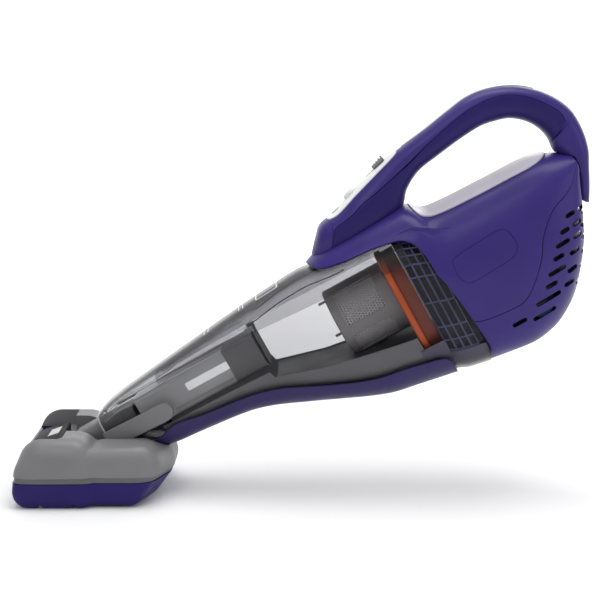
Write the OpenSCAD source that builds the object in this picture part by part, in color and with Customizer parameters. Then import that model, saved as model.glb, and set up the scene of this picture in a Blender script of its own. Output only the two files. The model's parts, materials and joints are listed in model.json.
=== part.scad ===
// Cordless handheld vacuum with a motorised pet-hair head.
// Row frame: X to the rear, Z up, sole of the head on Z = 0, origin at the sole's centre.
// Vacuum frame: s along the vacuum's own axis from the nozzle's tip, w up from that axis.

/* [Overall] */
// Angle between the vacuum's axis and the floor
tilt = 29; // [28:0.5:30]
// Distance from the head's origin to the nozzle's tip, along X
nozzle_x = 29.7; // [29:0.1:30.5]
// Height of the vacuum's axis at the nozzle's tip
nozzle_z = 30; // [29.5:0.1:31]

/* [Main body] */
// Half of the body's greatest width
body_half_w = 50.5; // [50:0.1:51]
// Wall of the body shells
body_wall = 2.6; // [2:0.1:3]
// Roundness of the body's cross section, 2 is an ellipse
body_round = 2.5; // [2.3:0.1:2.8]

/* [Handle] */
// Half width of the grip
grip_half_w = 16; // [15:0.5:17]
// Wall of the handle shells
handle_wall = 2.2; // [1.8:0.1:2.4]
// Thickness of the switch panel
panel_t = 1.6; // [1.4:0.1:1.8]
// Travel of the power slide
switch_travel = 8; // [5:1:9]
// Travel of the release button
button_travel = 2.5; // [2:0.5:3]

/* [Dust bowl] */
// Wall of the clear bowl
bowl_wall = 2.2; // [1.8:0.1:2.4]
// Inner half width of the intake duct
duct_half_w = 16; // [15:0.5:17]
// Axial place of the duct's end
duct_end = 147; // [140:1:150]

/* [Filter] */
// Radius of the filter's rim
rim_r = 47; // [46:0.1:47.2]
// Axial place of the rim's front
rim_s = 266; // [264:1:267]
// Height of the rim's centre from the vacuum's axis
rim_w = -3; // [-4:0.5:-2]
// Radius of the strainer
strainer_r = 30; // [28:0.5:30]
// Axial place of the strainer's front
strainer_s = 213; // [212:1:216]
// Height of the strainer's centre from the vacuum's axis
strainer_w = 8; // [6:0.5:8]

/* [Motor] */
// Radius of the motor can
motor_r = 19; // [17:0.5:20]
// Radius of the motor shaft
shaft_r = 1.6; // [1.5:0.1:2]
// Radius of the fan
fan_r = 33; // [30:0.5:34]
// Number of fan blades
fan_blades = 9; // [7:1:11]
// Radius of a battery cell
cell_r = 9.2; // [9:0.1:9.3]

/* [Pet head] */
// Half of the head's width
head_half_w = 60; // [59:0.5:61]
// Wall of the head shells
head_wall = 2.2; // [1.8:0.1:2.4]
// Height of the seam between the head's two shells
head_seam_z = 21; // [20:0.5:22]
// Radius over the bristles
brush_r = 19; // [18:0.5:19.5]
// Radius of the brush pulley
brush_pulley_r = 11; // [9:0.5:12]
// Radius of the head motor's pulley
small_pulley_r = 5; // [4:0.5:5.5]

/* [Charging jack] */
// Radius of the jack's bore
jack_r = 2.8; // [2.7:0.1:2.9]
// Depth of the jack's bore
jack_depth = 9; // [8:0.5:9.5]

/* [Hidden] */
$fn = 48;

// Outlines in the vacuum frame, [s, w] or [s, half width]
body_top = [[206, 66], [214, 66.8], [226, 71], [240, 73], [300, 72.5], [309, 69], [317, 60.5],
  [327, 57.3], [370, 55.6], [412, 54.6], [424, 52], [438, 45.5], [448, 37.5], [456, 30]];
body_low = [[206, -56], [227, -63.4], [248, -67.1], [268, -70.8], [300, -76.3], [330, -82.5],
  [351, -85.4], [364, -83.4], [378, -77.7], [396, -64.4], [409, -48.9], [423, -27.8],
  [433, -9], [441, 0.5], [450, 17], [456, 27.5]];
body_half = [[206, body_half_w - 6], [250, body_half_w - 1], [280, body_half_w], [340, body_half_w],
  [380, body_half_w - 2.5], [405, body_half_w - 6.5], [425, body_half_w - 13.5], [440, 28],
  [450, 20], [456, 12]];
bowl_top = [[0, 39], [12, 43.8], [47, 48.9], [97, 54.7], [146, 60.4], [183, 63.6], [204, 64.8],
  [214, 63.4], [230, 60.5], [250, 59.3], [266, 58.5], [285, 56], [292, 54], [300, 50.5], [316, 46]];
bowl_low = [[0, 5], [22, 3.6], [30, -1.5], [42, -8.4], [50, -10.2], [69, -11.6], [113, -16.1],
  [133, -21.3], [161, -33], [189, -45.4], [208, -53.7], [227, -60.4], [248, -64.1],
  [268, -67.8], [282, -70.5], [290, -74], [300, -76.2], [316, -79]];
bowl_half = [[0, 20], [47, 26.5], [97, 32], [146, 38], [183, 42.5], [214, 46],
  [250, body_half_w - 1], [280, body_half_w - 0.2], [316, body_half_w - 0.2]];

// Edges on the shells as angles round the section, where 90 is the top and -90 the underside.
// Where the arch over the bowl and the bowl's rear edge lie, [angle, s]
arch_edge = [[-90, 310], [-58, 311], [-48, 313.5], [-24, 312], [-4.5, 309], [7.5, 304], [22.5, 302],
  [33, 298], [39, 292], [42, 285], [45, 266], [46.5, 244], [54, 225], [75, 217], [90, 214]];
bowl_edge = [[-90, 309.6], [-57, 310.6], [-47, 313], [-20, 311.5], [0, 308.5], [9.5, 303.6], [31, 301.5],
  [51, 297.3], [62, 294], [75, 292], [90, 291]];
// How high the rear cover, the keel cover and the pale liner reach, [s, angle]
cover_seam = [[206, -18], [348, -18], [363, -16.5], [373, -10.5], [386, 0], [400, 4.5], [412, 3],
  [425, -8], [433, -20], [439, -33], [443, -60], [446, -88], [456, -90]];
keel_edge = [[24, -70], [34, -40], [52, -18], [80, -24], [106, -27], [148, -27], [178, -33], [208, -36],
  [241, -34.5], [265, -36], [277, -38], [281, -44]];
liner_edge = [[311, 84], [313, 70], [319, 66], [355, 64.5], [390, 63], [410, 61], [420, 66], [427, 82]];

// Handle rings: outer point, inner point, half width
handle_rings = [[222, 71, 226, 60, 12], [231, 81, 231, 60, 19], [240, 89, 241, 60, 22],
  [256, 91.5, 256, 60, 23.5], [275, 98.5, 277, 60, 23], [292, 104, 297, 62, 21],
  [305, 107.5, 308, 71, 19], [318, 110.5, 316, 80, 17.3], [333, 112.8, 331, 88.3, 16.5],
  [352, 115.6, 351, 91.7, grip_half_w], [372, 119.2, 372, 94.7, grip_half_w],
  [392, 122, 391, 95.9, grip_half_w], [410, 119.8, 404, 93.8, grip_half_w],
  [428, 112.7, 415, 90, grip_half_w], [443, 101.5, 425, 82.3, grip_half_w],
  [455, 87, 432, 72.3, grip_half_w], [461.5, 72, 435.3, 61, grip_half_w],
  [462.5, 55, 435, 50, 16.5], [460, 38, 436, 40, 17.5], [455, 24, 438, 30, 17], [448, 12, 438, 22, 14]];
handle_seam = [[0, 10], [2.5, 15], [4, 15], [7, 6], [9.3, 0], [10.9, 18], [12.9, 24], [14.3, 6],
  [15.8, -3], [20, 0]];
handle_round = 2.6;
panel_from = 2.5;
panel_to = 7.15;

// Power slide and release button, on the panel's slope
switch_s = 302;
switch_w = 106.8;
switch_slope = 14;
button_s = 274;
button_w = 97.6;
button_slope = 18;

// Fan, motor and battery places
grille_s = 288;
grille_len = 24;
fan_s = 300;
can_s = 320;
can_len = 44;
cell_len = 65;
cell_first_s = 326;
cell_pitch = 19.5;
cell_w = -52;
jack_x = 413.5;
jack_z = 229;
cable_s = 286;

// Pet head places
brush_x = -19;
brush_z = 21;
motor_x = 37;
motor_z = 16.8;
belt_y = 46;
mouth_half_w = 44;
spout_half_w = 16.4;
spout_half_h = 13.2;
spout_w = 21.8;
flap_pin_r = 1.2;
flap_pin_w = 41.7;
sole_screws = [[8, -39], [8, 39], [36, -39], [36, 39]];

screw_spots = [[300, 64], [330, 36], [326, -18], [392, 36], [420, 32]];

// ---- Functions ----

function clamp01(x) = min(1, max(0, x));
function seg(t, x, i = 0) = i >= len(t) - 2 || x < t[i + 1][0] ? i : seg(t, x, i + 1);
function chord(t, i, j) = (t[j][1] - t[i][1]) / (t[j][0] - t[i][0]);
function slope(t, i) = chord(t, max(0, i - 1), min(len(t) - 1, i + 1));
function hermite(a, b, da, db, u) =
  (2 * u ^ 3 - 3 * u ^ 2 + 1) * a + (u ^ 3 - 2 * u ^ 2 + u) * da
  + (3 * u ^ 2 - 2 * u ^ 3) * b + (u ^ 3 - u ^ 2) * db;
// A smooth curve through the points of a table, read at x
function along(t, x) =
  let (i = seg(t, x), h = t[i + 1][0] - t[i][0], u = clamp01((x - t[i][0]) / h))
  hermite(t[i][1], t[i + 1][1], slope(t, i) * h, slope(t, i + 1) * h, u);
function column(t, k) = [for (i = [0:len(t) - 1]) [i, t[i][k]]];
function power(x, e) = sign(x) * abs(x) ^ e;
function lerp(a, b, u) = a + (b - a) * u;
function steps(a, b, n) = [for (i = [0:n]) lerp(a, b, i / n)];

// A point of a rounded section at angle a: y and height
function round_pt(a, half_w, low, top, e, inset = 0) =
  let (h = (top - low) / 2, half_h = max(0.2 * h, h - inset), mid = (top + low) / 2)
  [max(0.3 * half_w, half_w - inset) * power(cos(a), 2 / e), mid + half_h * power(sin(a), 2 / e)];
function body_pt(s, a, inset = 0) =
  let (p = round_pt(a, along(body_half, s), along(body_low, s), along(body_top, s), body_round, inset))
  [s, p[0], p[1]];
// The bowl's section is squarer over the filter, above its middle
function bowl_round(s, a) = sin(a) > 0
  ? lookup(s, [[0, 3.6], [60, 3.1], [150, 2.7], [205, 2.7], [240, 3.6], [285, 4]])
  : lookup(s, [[0, 3.6], [60, 3.1], [150, 2.7], [230, body_round]]);
function bowl_pt(s, a, inset = 0, down = 0) =
  let (p = round_pt(a, along(bowl_half, s), along(bowl_low, s) - down, along(bowl_top, s) + down,
    bowl_round(s, a), inset))
  [s, p[0], p[1]];

ring_os = column(handle_rings, 0);
ring_ow = column(handle_rings, 1);
ring_is = column(handle_rings, 2);
ring_iw = column(handle_rings, 3);
ring_hw = column(handle_rings, 4);
function handle_pt(t, a, inset = 0) =
  let (o = [along(ring_os, t), along(ring_ow, t)], i = [along(ring_is, t), along(ring_iw, t)],
    mid = (o + i) / 2, half = (o - i) / 2, k = 1 - inset / norm(half),
    p = mid + half * k * power(sin(a), 2 / handle_round))
  [p[0], (along(ring_hw, t) - inset) * power(cos(a), 2 / handle_round), p[1]];

// ---- Helpers ----

// Moves a piece from the vacuum frame (s, y, w) to the row frame
module vac() {
  translate([nozzle_x, 0, nozzle_z]) rotate([0, -tilt, 0]) children();
}

// A solid of revolution about the vacuum's axis: the profile is (radius, s)
module about_axis() {
  rotate([0, 90, 0]) rotate([0, 0, 180]) rotate_extrude() children();
}

// A closed wall from rows of points: rows[i] holds the outer points and then as many inner ones
module wall(rows, wraps = false) {
  n = len(rows[0]);
  m = n / 2;
  last = len(rows) - 1;
  spans = wraps ? m - 1 : m - 2;
  points = [for (r = rows) each r];
  sides = [for (i = [0:last - 1]) for (j = [0:spans])
    let (k = (j + 1) % m, a = i * n, b = a + n)
    each [[a + j, b + j, b + k], [a + j, b + k, a + k],
      [a + m + j, b + m + k, b + m + j], [a + m + j, a + m + k, b + m + k]]];
  ends = [for (j = [0:spans]) let (k = (j + 1) % m, b = last * n)
    each [[j, k, m + k], [j, m + k, m + j],
      [b + j, b + m + k, b + k], [b + j, b + m + j, b + m + k]]];
  edges = wraps ? [] : [for (i = [0:last - 1]) let (a = i * n, b = a + n)
    each [[a, a + m, b + m], [a, b + m, b],
      [a + m - 1, b + m - 1, b + n - 1], [a + m - 1, b + n - 1, a + n - 1]]];
  polyhedron(points, concat(sides, ends, edges), convexity = 8);
}

// A closed solid from rows of points, each a full loop
module solid_loft(rows) {
  n = len(rows[0]);
  last = len(rows) - 1;
  points = [for (r = rows) each r];
  sides = [for (i = [0:last - 1]) for (j = [0:n - 1])
    let (k = (j + 1) % n, a = i * n, b = a + n)
    each [[a + j, b + j, b + k], [a + j, b + k, a + k]]];
  front = [for (j = [1:n - 2]) [0, j, j + 1]];
  back = [for (j = [1:n - 2]) [last * n, last * n + j + 1, last * n + j]];
  polyhedron(points, concat(sides, front, back), convexity = 8);
}

// Holds a cut shell at its own size
module full_width() {
  resize([0, 0, 0]) children();
}

module body_solid(inset) {
  solid_loft([for (s = steps(212, 455.5, 60)) [for (a = steps(0, 354, 59)) body_pt(s, a, inset)]]);
}

// ---- Main body ----

shell_angles = [-18, -10, -4, 2, 8, 15, 22, 28, 33, 36, 39, 42, 45, 47, 54, 63, 75, 90];
shell_steps = [0, 0.02, 0.06, 0.12, 0.2, 0.3, 0.36, 0.4, 0.44, 0.5, 0.58, 0.66, 0.74, 0.82, 0.88,
  0.92, 0.95, 0.975, 1];
function shell_at(u, a0, side, inset) =
  let (s = lerp(along(arch_edge, a0), 455.2, u), low = max(along(cover_seam, s) + 0.8, -89.4),
    a = lerp(low, 89.8, (a0 + 18) / 108), p = body_pt(s, a, inset))
  [p[0], side * p[1], p[2]];
module half_shell(side) {
  angles = side > 0 ? shell_angles : [for (i = [len(shell_angles) - 1:-1:0]) shell_angles[i]];
  wall([for (u = shell_steps) concat(
    [for (a = angles) shell_at(u, a, side, 0)],
    [for (a = angles) shell_at(u, a, side, body_wall)])]);
}

module body_shell_left() {
  color("#3d3468") vac() difference() {
    half_shell(-1);
    cable_way();
  }
}

module body_shell_right() {
  color("#3d3468") vac() difference() {
    half_shell(1);
    cable_way();
    screw_holes();
  }
}

// Hole in the top of the body for the switch wires
module cable_way() {
  translate([cable_s, 0, 60]) cylinder(r = 4, h = 16);
}

module screw_holes() {
  for (p = screw_spots) translate([p[0], 20, p[1]]) rotate([-90, 0, 0]) cylinder(r = 1.7, h = 40);
}

module body_screws() {
  color("#8a8a90") vac() for (p = screw_spots) {
    top = along(body_top, p[0]);
    low = along(body_low, p[0]);
    y = body_pt(p[0], asin(power((2 * p[1] - top - low) / (top - low), body_round / 2)))[1];
    translate([p[0], y - 12, p[1]]) rotate([-90, 0, 0]) cylinder(r = 1.55, h = 11);
  }
}

cover_steps = [0, 0.06, 0.14, 0.22, 0.3, 0.38, 0.46, 0.54, 0.62, 0.7, 0.78, 0.86, 0.93, 0.98, 1];
cover_last = 440;
module rear_vent_cover() {
  color("#3d3468") vac() difference() {
    wall([for (u = cover_steps) concat(cover_row(u, 0), cover_row(u, body_wall))]);
    vent_slots();
    jack_hole();
  }
}
function cover_row(u, inset) =
  [for (v = steps(-1, 1, 22)) let (a0 = -90 + 72 * abs(v),
    s = lerp(along(arch_edge, a0), cover_last, u), reach = along(cover_seam, s) + 90 - 0.8,
    p = body_pt(s, -90 + reach * abs(v), inset)) [p[0], sign(v) * p[1], p[2]]];

// Exhaust slots through both sides of the rear cover: [s, w, length]
vent_rows = [[418, 4, 8], [429, 3, 7], [408, -5, 8], [420, -5, 8], [402, -13, 12], [416, -14, 8],
  [394, -21, 9], [408, -24, 9], [388, -30, 15], [400, -36, 9], [379, -38, 10], [393, -45, 9],
  [372, -47, 22], [364, -57, 20], [343, -53, 12]];
module vent_slots() {
  for (v = vent_rows) translate([v[0], 0, v[1]]) hull() for (x = [-1, 1])
    translate([x * (v[2] / 2 - 1.6), 0, 0]) rotate([90, 0, 0])
      cylinder(r = 1.6, h = 120, center = true, $fn = 12);
}

module jack_hole() {
  rotate([0, tilt, 0]) translate([jack_x - nozzle_x - 14, 0, jack_z - nozzle_z])
    rotate([0, 90, 0]) cylinder(r = 5.15, h = 30);
}

// ---- Handle ----

handle_steps = [0, 0.5, 1, 1.5, 2, 2.25, 2.7, 3.3, 4, 4.7, 5.4, 6, 6.6, 7.2, 7.45, 7.8, 8.4, 9.2, 10, 10.7,
  11.3, 12, 12.7, 13.4, 14, 14.7, 15.4, 16, 16.8, 17.6, 18.4, 19.2, 20];
function in_recess(t, f) = t >= 2.2 && t <= 7.5 && f > 0.48;
function top_pt(t, f, side, inset) =
  let (a0 = along(handle_seam, t) + 0.5, a = lerp(a0, 90, f),
    p = handle_pt(t, a, inset + (in_recess(t, f) ? panel_t + 0.5 : 0)))
  [p[0], side * p[1], p[2]];
top_fracs = [0, 0.18, 0.32, 0.44, 0.5, 0.62, 0.8, 1];
function top_row(t, inset) = concat(
  [for (i = [len(top_fracs) - 1:-1:0]) top_pt(t, top_fracs[len(top_fracs) - 1 - i], 1, inset)],
  [for (i = [len(top_fracs) - 2:-1:0]) top_pt(t, top_fracs[i], -1, inset)]);

module handle_top_cover() {
  color("#423a69") vac() full_width() difference() {
    wall([for (t = handle_steps) concat(top_row(t, 0), top_row(t, handle_wall))]);
    body_solid(-0.7);
    control_way();
  }
}

// Opening under the panel for the button and the slide
module control_way() {
  translate([256, -8.5, 84]) cube([58, 17, 40]);
}

module handle_grip() {
  color("#2b2159") vac() full_width() difference() {
    wall([for (t = handle_steps) concat(grip_row(t, 0), grip_row(t, handle_wall))]);
    body_solid(-0.7);
    saddle_room();
  }
}
function grip_row(t, inset) =
  let (reach = 90 + along(handle_seam, t) - 0.5)
  [for (a = steps(-90 - reach, -90 + reach, 16)) handle_pt(t, a, inset)];
module saddle_room() {
  translate([300, -40, 40]) cube([128, 80, 22]);
}

// White control panel, let into the handle's top
module switch_panel() {
  color("#f1f1f1") vac() difference() {
    wall([for (t = steps(panel_from, panel_to, 14)) concat(
      [for (a = steps(56, 124, 8)) handle_pt(t, a, 0)],
      [for (a = steps(56, 124, 8)) handle_pt(t, a, panel_t)])]);
    on_slope(switch_s, switch_w, switch_slope) translate([-switch_travel / 2 - 0.2, 0, 0])
      cube([switch_travel + 6.6, 5.6, 20], center = true);
    on_slope(button_s, button_w, button_slope) translate([0, 0, -10]) cylinder(r = 7, h = 30);
  }
}

module on_slope(s, w, angle) {
  translate([s, 0, w]) rotate([0, -angle, 0]) children();
}

module power_switch() {
  color("#6b6b70") vac() on_slope(switch_s, switch_w, switch_slope) {
    translate([0, 0, 1.2]) slide_cap();
    translate([-2.5, -2.5, -7]) cube([5, 5, 9]);
  }
}

// Thumb pad with three grip ridges
module slide_cap() {
  translate([-5, -6.5, 0]) cube([10, 13, 3]);
  for (x = [-4, -0.9, 2.2]) translate([x, -6, 2.5]) cube([1.8, 12, 2.8]);
}

module release_button() {
  color("#f4f4f4") vac() on_slope(button_s, button_w, button_slope) {
    translate([0, 0, -6]) cylinder(r = 6.8, h = 9.5);
    translate([0, 0, 2.5]) button_cap();
  }
}

// Rounded cap of the button
module button_cap() {
  intersection() {
    translate([0, 0, -13.4]) sphere(r = 16);
    cylinder(r = 6.8, h = 6);
  }
}

module button_spring() {
  color("#a8a8ac") vac() on_slope(button_s, button_w, button_slope) difference() {
    translate([0, 0, -12.5 - button_travel]) cylinder(r = 4.5, h = button_travel + 6.5);
    translate([0, 0, -20]) cylinder(r = 3.5, h = 20);
  }
}

module indicator_lens() {
  color("#2a2a2e") vac() on_slope(254.5, 92.1, 12) translate([0, 0, 0.4]) {
    cube([7, 2.2, 1], center = true);
  }
}

module slide_microswitch() {
  color("#2c2c30") vac() on_slope(switch_s, switch_w, switch_slope)
    translate([-10, -5, -17]) cube([18, 10, 8]);
}

// Route of the switch wires, [s, w], with a knuckle at each bend
wire_route = [[cable_s, 88], [cable_s, 61], [314, 53], [328, 38]];
module wire_harness() {
  color("#7a2020") vac() {
    for (i = [0:2]) wire(wire_route[i], wire_route[i + 1]);
    for (i = [1:2]) translate([wire_route[i][0], 0, wire_route[i][1]]) sphere(r = 2.5);
  }
}

module wire(from, to) {
  run = to - from;
  translate([from[0], 0, from[1]]) rotate([0, atan2(run[0], run[1]), 0]) cylinder(r = 1.9, h = norm(run));
}

// Pale liner over the floor of the hand gap
module saddle_insert() {
  color("#dedce0") vac() wall([for (s = concat([311.5, 313, 316], steps(320, 420, 14), [424, 426.5]))
    concat(liner_row(s, 2.6), liner_row(s, 1.3))]);
}
function liner_row(s, lift) =
  let (edge = along(liner_edge, s)) [for (a = steps(edge, 180 - edge, 12)) body_pt(s, a, -lift)];

// Thin pale strip along the top of the handle
module handle_top_insert() {
  color("#c9c9cf") vac() wall([for (t = steps(7.7, 14, 20)) concat(
    [for (a = steps(80, 100, 4)) handle_pt(t, a, -0.9)],
    [for (a = steps(80, 100, 4)) handle_pt(t, a, -0.05)])]);
}

// ---- Motor, fan and battery ----

module inlet_grille() {
  color("#4b4a63") vac() difference() {
    about_axis() translate([0, grille_s]) {
      translate([43.5, 0]) square([2, grille_len]);
      translate([38, 0]) square([7.5, 2]);
      translate([12, 0]) square([3, 2]);
      translate([24, 0]) square([3, 2]);
      translate([12, 0]) square([28, 0.8]);
    }
    for (k = [0:15]) rotate([k * 22.5, 0, 0]) for (x = [4, 14])
      translate([grille_s + x, -5.4, 40]) cube([8, 10.8, 10]);
    for (k = [0:11]) rotate([k * 30, 0, 0]) for (r = [15.5, 27.5])
      translate([grille_s - 1, -r * 0.2, r]) cube([4, r * 0.4, r == 15.5 ? 8 : 10]);
  }
}

module fan_shroud() {
  color("#55545c") vac() about_axis() translate([0, fan_s - 4]) {
    translate([fan_r + 3, 0]) square([2, 22]);
    translate([17, 0]) square([fan_r - 13, 2]);
    translate([8, 20]) square([fan_r - 4, 2]);
  }
}

module fan_impeller() {
  color("#c7c7cc") vac() {
    about_axis() translate([0, fan_s]) {
      translate([shaft_r, 0]) square([4.4, 13]);
      translate([shaft_r, 11]) square([fan_r - shaft_r, 1.6]);
    }
    for (k = [0:fan_blades - 1]) rotate([k * 360 / fan_blades, 0, 0])
      translate([fan_s + 1, -0.8, 5.5]) rotate([20, 0, 0]) cube([10.4, 1.4, fan_r - 8]);
  }
}

module motor_shaft() {
  color("#b9bcc0") vac() translate([fan_s - 1, 0, 0]) rotate([0, 90, 0])
    cylinder(r = shaft_r, h = can_s + can_len + 4 - fan_s);
}

module motor_can() {
  color("#9a9ca1") vac() about_axis() translate([0, can_s]) {
    bore = shaft_r + 0.05;
    translate([motor_r - 1.5, 0]) square([1.5, can_len]);
    translate([bore, 0]) square([motor_r - bore, 3]);
    translate([bore, can_len - 3]) square([motor_r - bore, 3]);
    translate([bore + 8, 2]) square([7, can_len - 4]);
  }
}

module motor_mount_ring() {
  color("#1d1d1f") vac() about_axis() translate([motor_r, can_s + 18]) square([7, 10]);
}

module battery_cells() {
  color("#4a7f9c") vac() for (k = [0:2]) translate([cell_first_s + k * cell_pitch, cell_len / 2, cell_w])
    rotate([90, 0, 0]) {
      cylinder(r = cell_r, h = cell_len);
      translate([0, 0, -1]) cylinder(r = 3, h = 1.2);
    }
}

module battery_holder() {
  color("#2d2d31") vac() difference() {
    translate([cell_first_s - 12, -34, cell_w - 5]) cube([2 * cell_pitch + 24, 68, 10]);
    for (k = [0:2]) translate([cell_first_s + k * cell_pitch, 33.7, cell_w])
      rotate([90, 0, 0]) cylinder(r = cell_r + 0.05, h = 67.4);
  }
}

module circuit_board() {
  color("#2f6b3c") vac() {
    translate([322, -26, -40]) cube([50, 52, 1.6]);
    translate([328, -18, -38.5]) cube([9, 9, 2]);
    translate([346, 4, -38.5]) cube([14, 10, 3.5]);
    translate([362, -16, -38.5]) cube([6, 12, 5]);
  }
}

module charge_jack() {
  color("#1c1c1f") translate([jack_x, 0, jack_z]) rotate([0, 90, 0]) difference() {
    translate([0, 0, -13]) cylinder(r = 5, h = 13);
    translate([0, 0, -jack_depth]) cylinder(r = jack_r, h = jack_depth + 1);
  }
}

// ---- Dust bowl ----

bowl_angles = steps(-90, 262, 44);
function fold(a) = a > 90 ? 180 - a : a;
function bowl_at(u, a, inset) =
  let (s = lerp(0, along(bowl_edge, fold(a)), u)) bowl_pt(s, a, inset);
bowl_steps = [0, 0.02, 0.05, 0.09, 0.13, 0.16, 0.2, 0.28, 0.36, 0.43, 0.5, 0.58, 0.66, 0.73, 0.8, 0.86,
  0.9, 0.93, 0.96, 1];
module dust_bowl() {
  color("#6a6a6e", 0.5) vac() wall([for (u = bowl_steps) concat(
    [for (a = bowl_angles) bowl_at(u, a, 0)], [for (a = bowl_angles) bowl_at(u, a, bowl_wall)])], true);
}

// Cover under the bowl: it hides the wire to the head
module keel_cover() {
  color("#423a66") vac() wall([for (s = concat([24, 30, 36], steps(44, 281, 17))) concat(
    keel_row(s, 1.8, 1.2), keel_row(s, 0.35, 1.1))]);
}
function keel_row(s, out, down) =
  let (reach = 90 + along(keel_edge, s))
  [for (a = steps(-90 - reach, -90 + reach, 14)) bowl_pt(s, a, -out, down)];

module supply_ribbon() {
  color("#262629") vac() wall([for (s = steps(30, 280, 18)) concat(
    [for (y = [3, -3]) [s, y, along(bowl_low, s) - 1.15]],
    [for (y = [3, -3]) [s, y, along(bowl_low, s) - 0.45]])]);
}

module intake_duct() {
  color("#747478") vac() difference() {
    union() {
      translate([34, -duct_half_w - 2, 8]) cube([duct_end - 34, 2 * duct_half_w + 4, 31]);
      for (y = [-13, 10]) translate([duct_end - 4, y, 38.5]) cube([7.2, 3, 5]);
    }
    translate([33, -duct_half_w, 10]) cube([duct_end - 32, 2 * duct_half_w, 27]);
    translate([duct_end + 1, 20, flap_pin_w]) rotate([90, 0, 0]) cylinder(r = flap_pin_r, h = 40);
  }
}

module flap_pin() {
  color("#b9bcc0") vac() translate([duct_end + 1, 13, flap_pin_w]) rotate([90, 0, 0])
    cylinder(r = flap_pin_r, h = 26);
}

module inlet_flap() {
  color("#232325") vac() difference() {
    union() {
      translate([duct_end + 0.5, -17, 9]) cube([1.4, 34, 31]);
      translate([duct_end + 1, 9, flap_pin_w]) rotate([90, 0, 0]) cylinder(r = 2.4, h = 18);
    }
    translate([duct_end + 1, 10, flap_pin_w]) rotate([90, 0, 0]) cylinder(r = flap_pin_r + 0.05, h = 20);
    for (y = [-14, 9.4]) translate([duct_end - 1, y, 37]) cube([8, 4.6, 5]);
  }
}

// ---- Filter ----

module filter_rim() {
  color("#be5030") vac() translate([0, 0, rim_w]) about_axis() difference() {
    union() {
      translate([rim_r - 6, rim_s]) square([6, 8]);
      translate([rim_r - 3, rim_s + 7]) square([2.4, 11.5]);
    }
    translate([rim_r - 6.1, rim_s + 3]) square([1.2, 3]);
  }
}

module filter_strainer() {
  color("#4a4648") vac() difference() {
    union() {
      along_axis(strainer_s, strainer_w) cylinder(r = strainer_r, h = rim_s + 3 - strainer_s);
      along_axis(rim_s + 2, rim_w) cylinder(r = rim_r - 6.05, h = 2);
      for (w = [0, 30]) along_axis(strainer_s - 7, w) cylinder(r = 1.2, h = 8);
    }
    along_axis(strainer_s + 2, strainer_w) cylinder(r = strainer_r - 2, h = 80);
    translate([0, 0, strainer_w]) for (k = [0:7]) rotate([k * 45 + 22.5, 0, 0])
      translate([strainer_s + 8, -8.5, 20]) cube([35, 17, 20]);
  }
}

// A cylinder's place: its axis runs to the rear from s, at height w
module along_axis(s, w) {
  translate([s, 0, w]) rotate([0, 90, 0]) children();
}

module filter_mesh() {
  color("#8b8785") vac() translate([0, 0, strainer_w]) about_axis()
    translate([strainer_r - 3, strainer_s + 3]) square([0.8, rim_s - strainer_s - 2]);
}

pleats = 20;
module pleated_filter() {
  color("#d9d6cf") vac() along_axis(strainer_s + 5, strainer_w) linear_extrude(height = 46) difference() {
    polygon([for (k = [0:2 * pleats - 1])
      let (r = k % 2 ? 25 : 18, a = k * 180 / pleats) [r * cos(a), r * sin(a)]]);
    circle(r = 14);
  }
}

// ---- Pet head ----

// Rounded body of the head, its balls given as [x, y, z, r]
front_balls = [[-38.5, 48, 12, 12], [3, 48, 12, 12], [-33.5, 43, 25, 17], [-25, 40, 31, 19],
  [-5, 40, 31, 19]];
rear_balls = [[8, 46, 12, 10.3], [37, 44, 12, 10.3], [62, 40, 40, 17.8], [16, 42, 34, 15.5],
  [20, 30, 45, 14], [56, 30, 44, 15]];
module ball_hull(balls, inset) {
  hull() for (b = balls) for (side = [-1, 1])
    translate([b[0], side * (b[1] + head_half_w - 60), b[2]]) sphere(r = b[3] - inset, $fn = 28);
}
module head_form(inset) {
  difference() {
    union() {
      ball_hull(front_balls, inset);
      ball_hull(rear_balls, inset);
    }
    vac() nozzle_room(4.4 + inset);
    brush_bay(inset);
  }
}

// Space that the nozzle and its saddle take out of the head's top
module nozzle_room(grow) {
  solid_loft([for (s = [-2 - grow, 10, 20, 30, 42, 60, 90, 120]) [for (a = steps(0, 345, 23))
    let (p = bowl_pt(max(0, s), a, -grow), lift = a > 0 && a < 180 ? 30 : 0) [s, p[1], p[2] + lift]]]);
}

// Recess in the head's top where the brush cover sits
module brush_bay(inset) {
  hull() for (y = [-1, 1]) {
    translate([-46 - inset, y * (33 + inset), 44]) cylinder(r = 6, h = 20, $fn = 24);
    translate([-14 + inset, y * (33 + inset), 40]) cylinder(r = 6, h = 20, $fn = 24);
  }
}

module head_top_shell() {
  color("#707072") full_width() difference() {
    head_form(0);
    head_form(head_wall);
    translate([-100, -100, -1]) cube([300, 200, head_seam_z + 1.15]);
    vac() spout_solid(-40, 10, 0.15);
    vac() translate([-12, -24, -2]) cube([14, 48, 42]);
  }
}

module head_bottom_shell() {
  color("#2f265b") full_width() difference() {
    head_form(0);
    head_form(head_wall);
    translate([-100, -100, head_seam_z - 0.15]) cube([300, 200, 100]);
    translate([-41.3, -50.3, -1]) cube([82.6, 100.6, 3.6]);
    for (p = sole_screws) translate([p[0], p[1], -1]) cylinder(r = 1.6, h = 12);
    for (x = [-30, -3]) translate([x - 2.5, -70, -1]) cube([5, 140, 3]);
  }
}

module spout_solid(from, to, grow) {
  low = spout_w - spout_half_h;
  top = spout_w + spout_half_h;
  solid_loft([for (s = [from, to]) [for (a = steps(0, 345, 23))
    let (p = round_pt(a, spout_half_w, low, top, 3.2, -grow)) [s, p[0], p[1]]]]);
}

module head_spout() {
  color("#6a6a6c") vac() difference() {
    spout_solid(-24, 30, 0);
    spout_solid(-25, 31, -2);
  }
}

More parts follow.
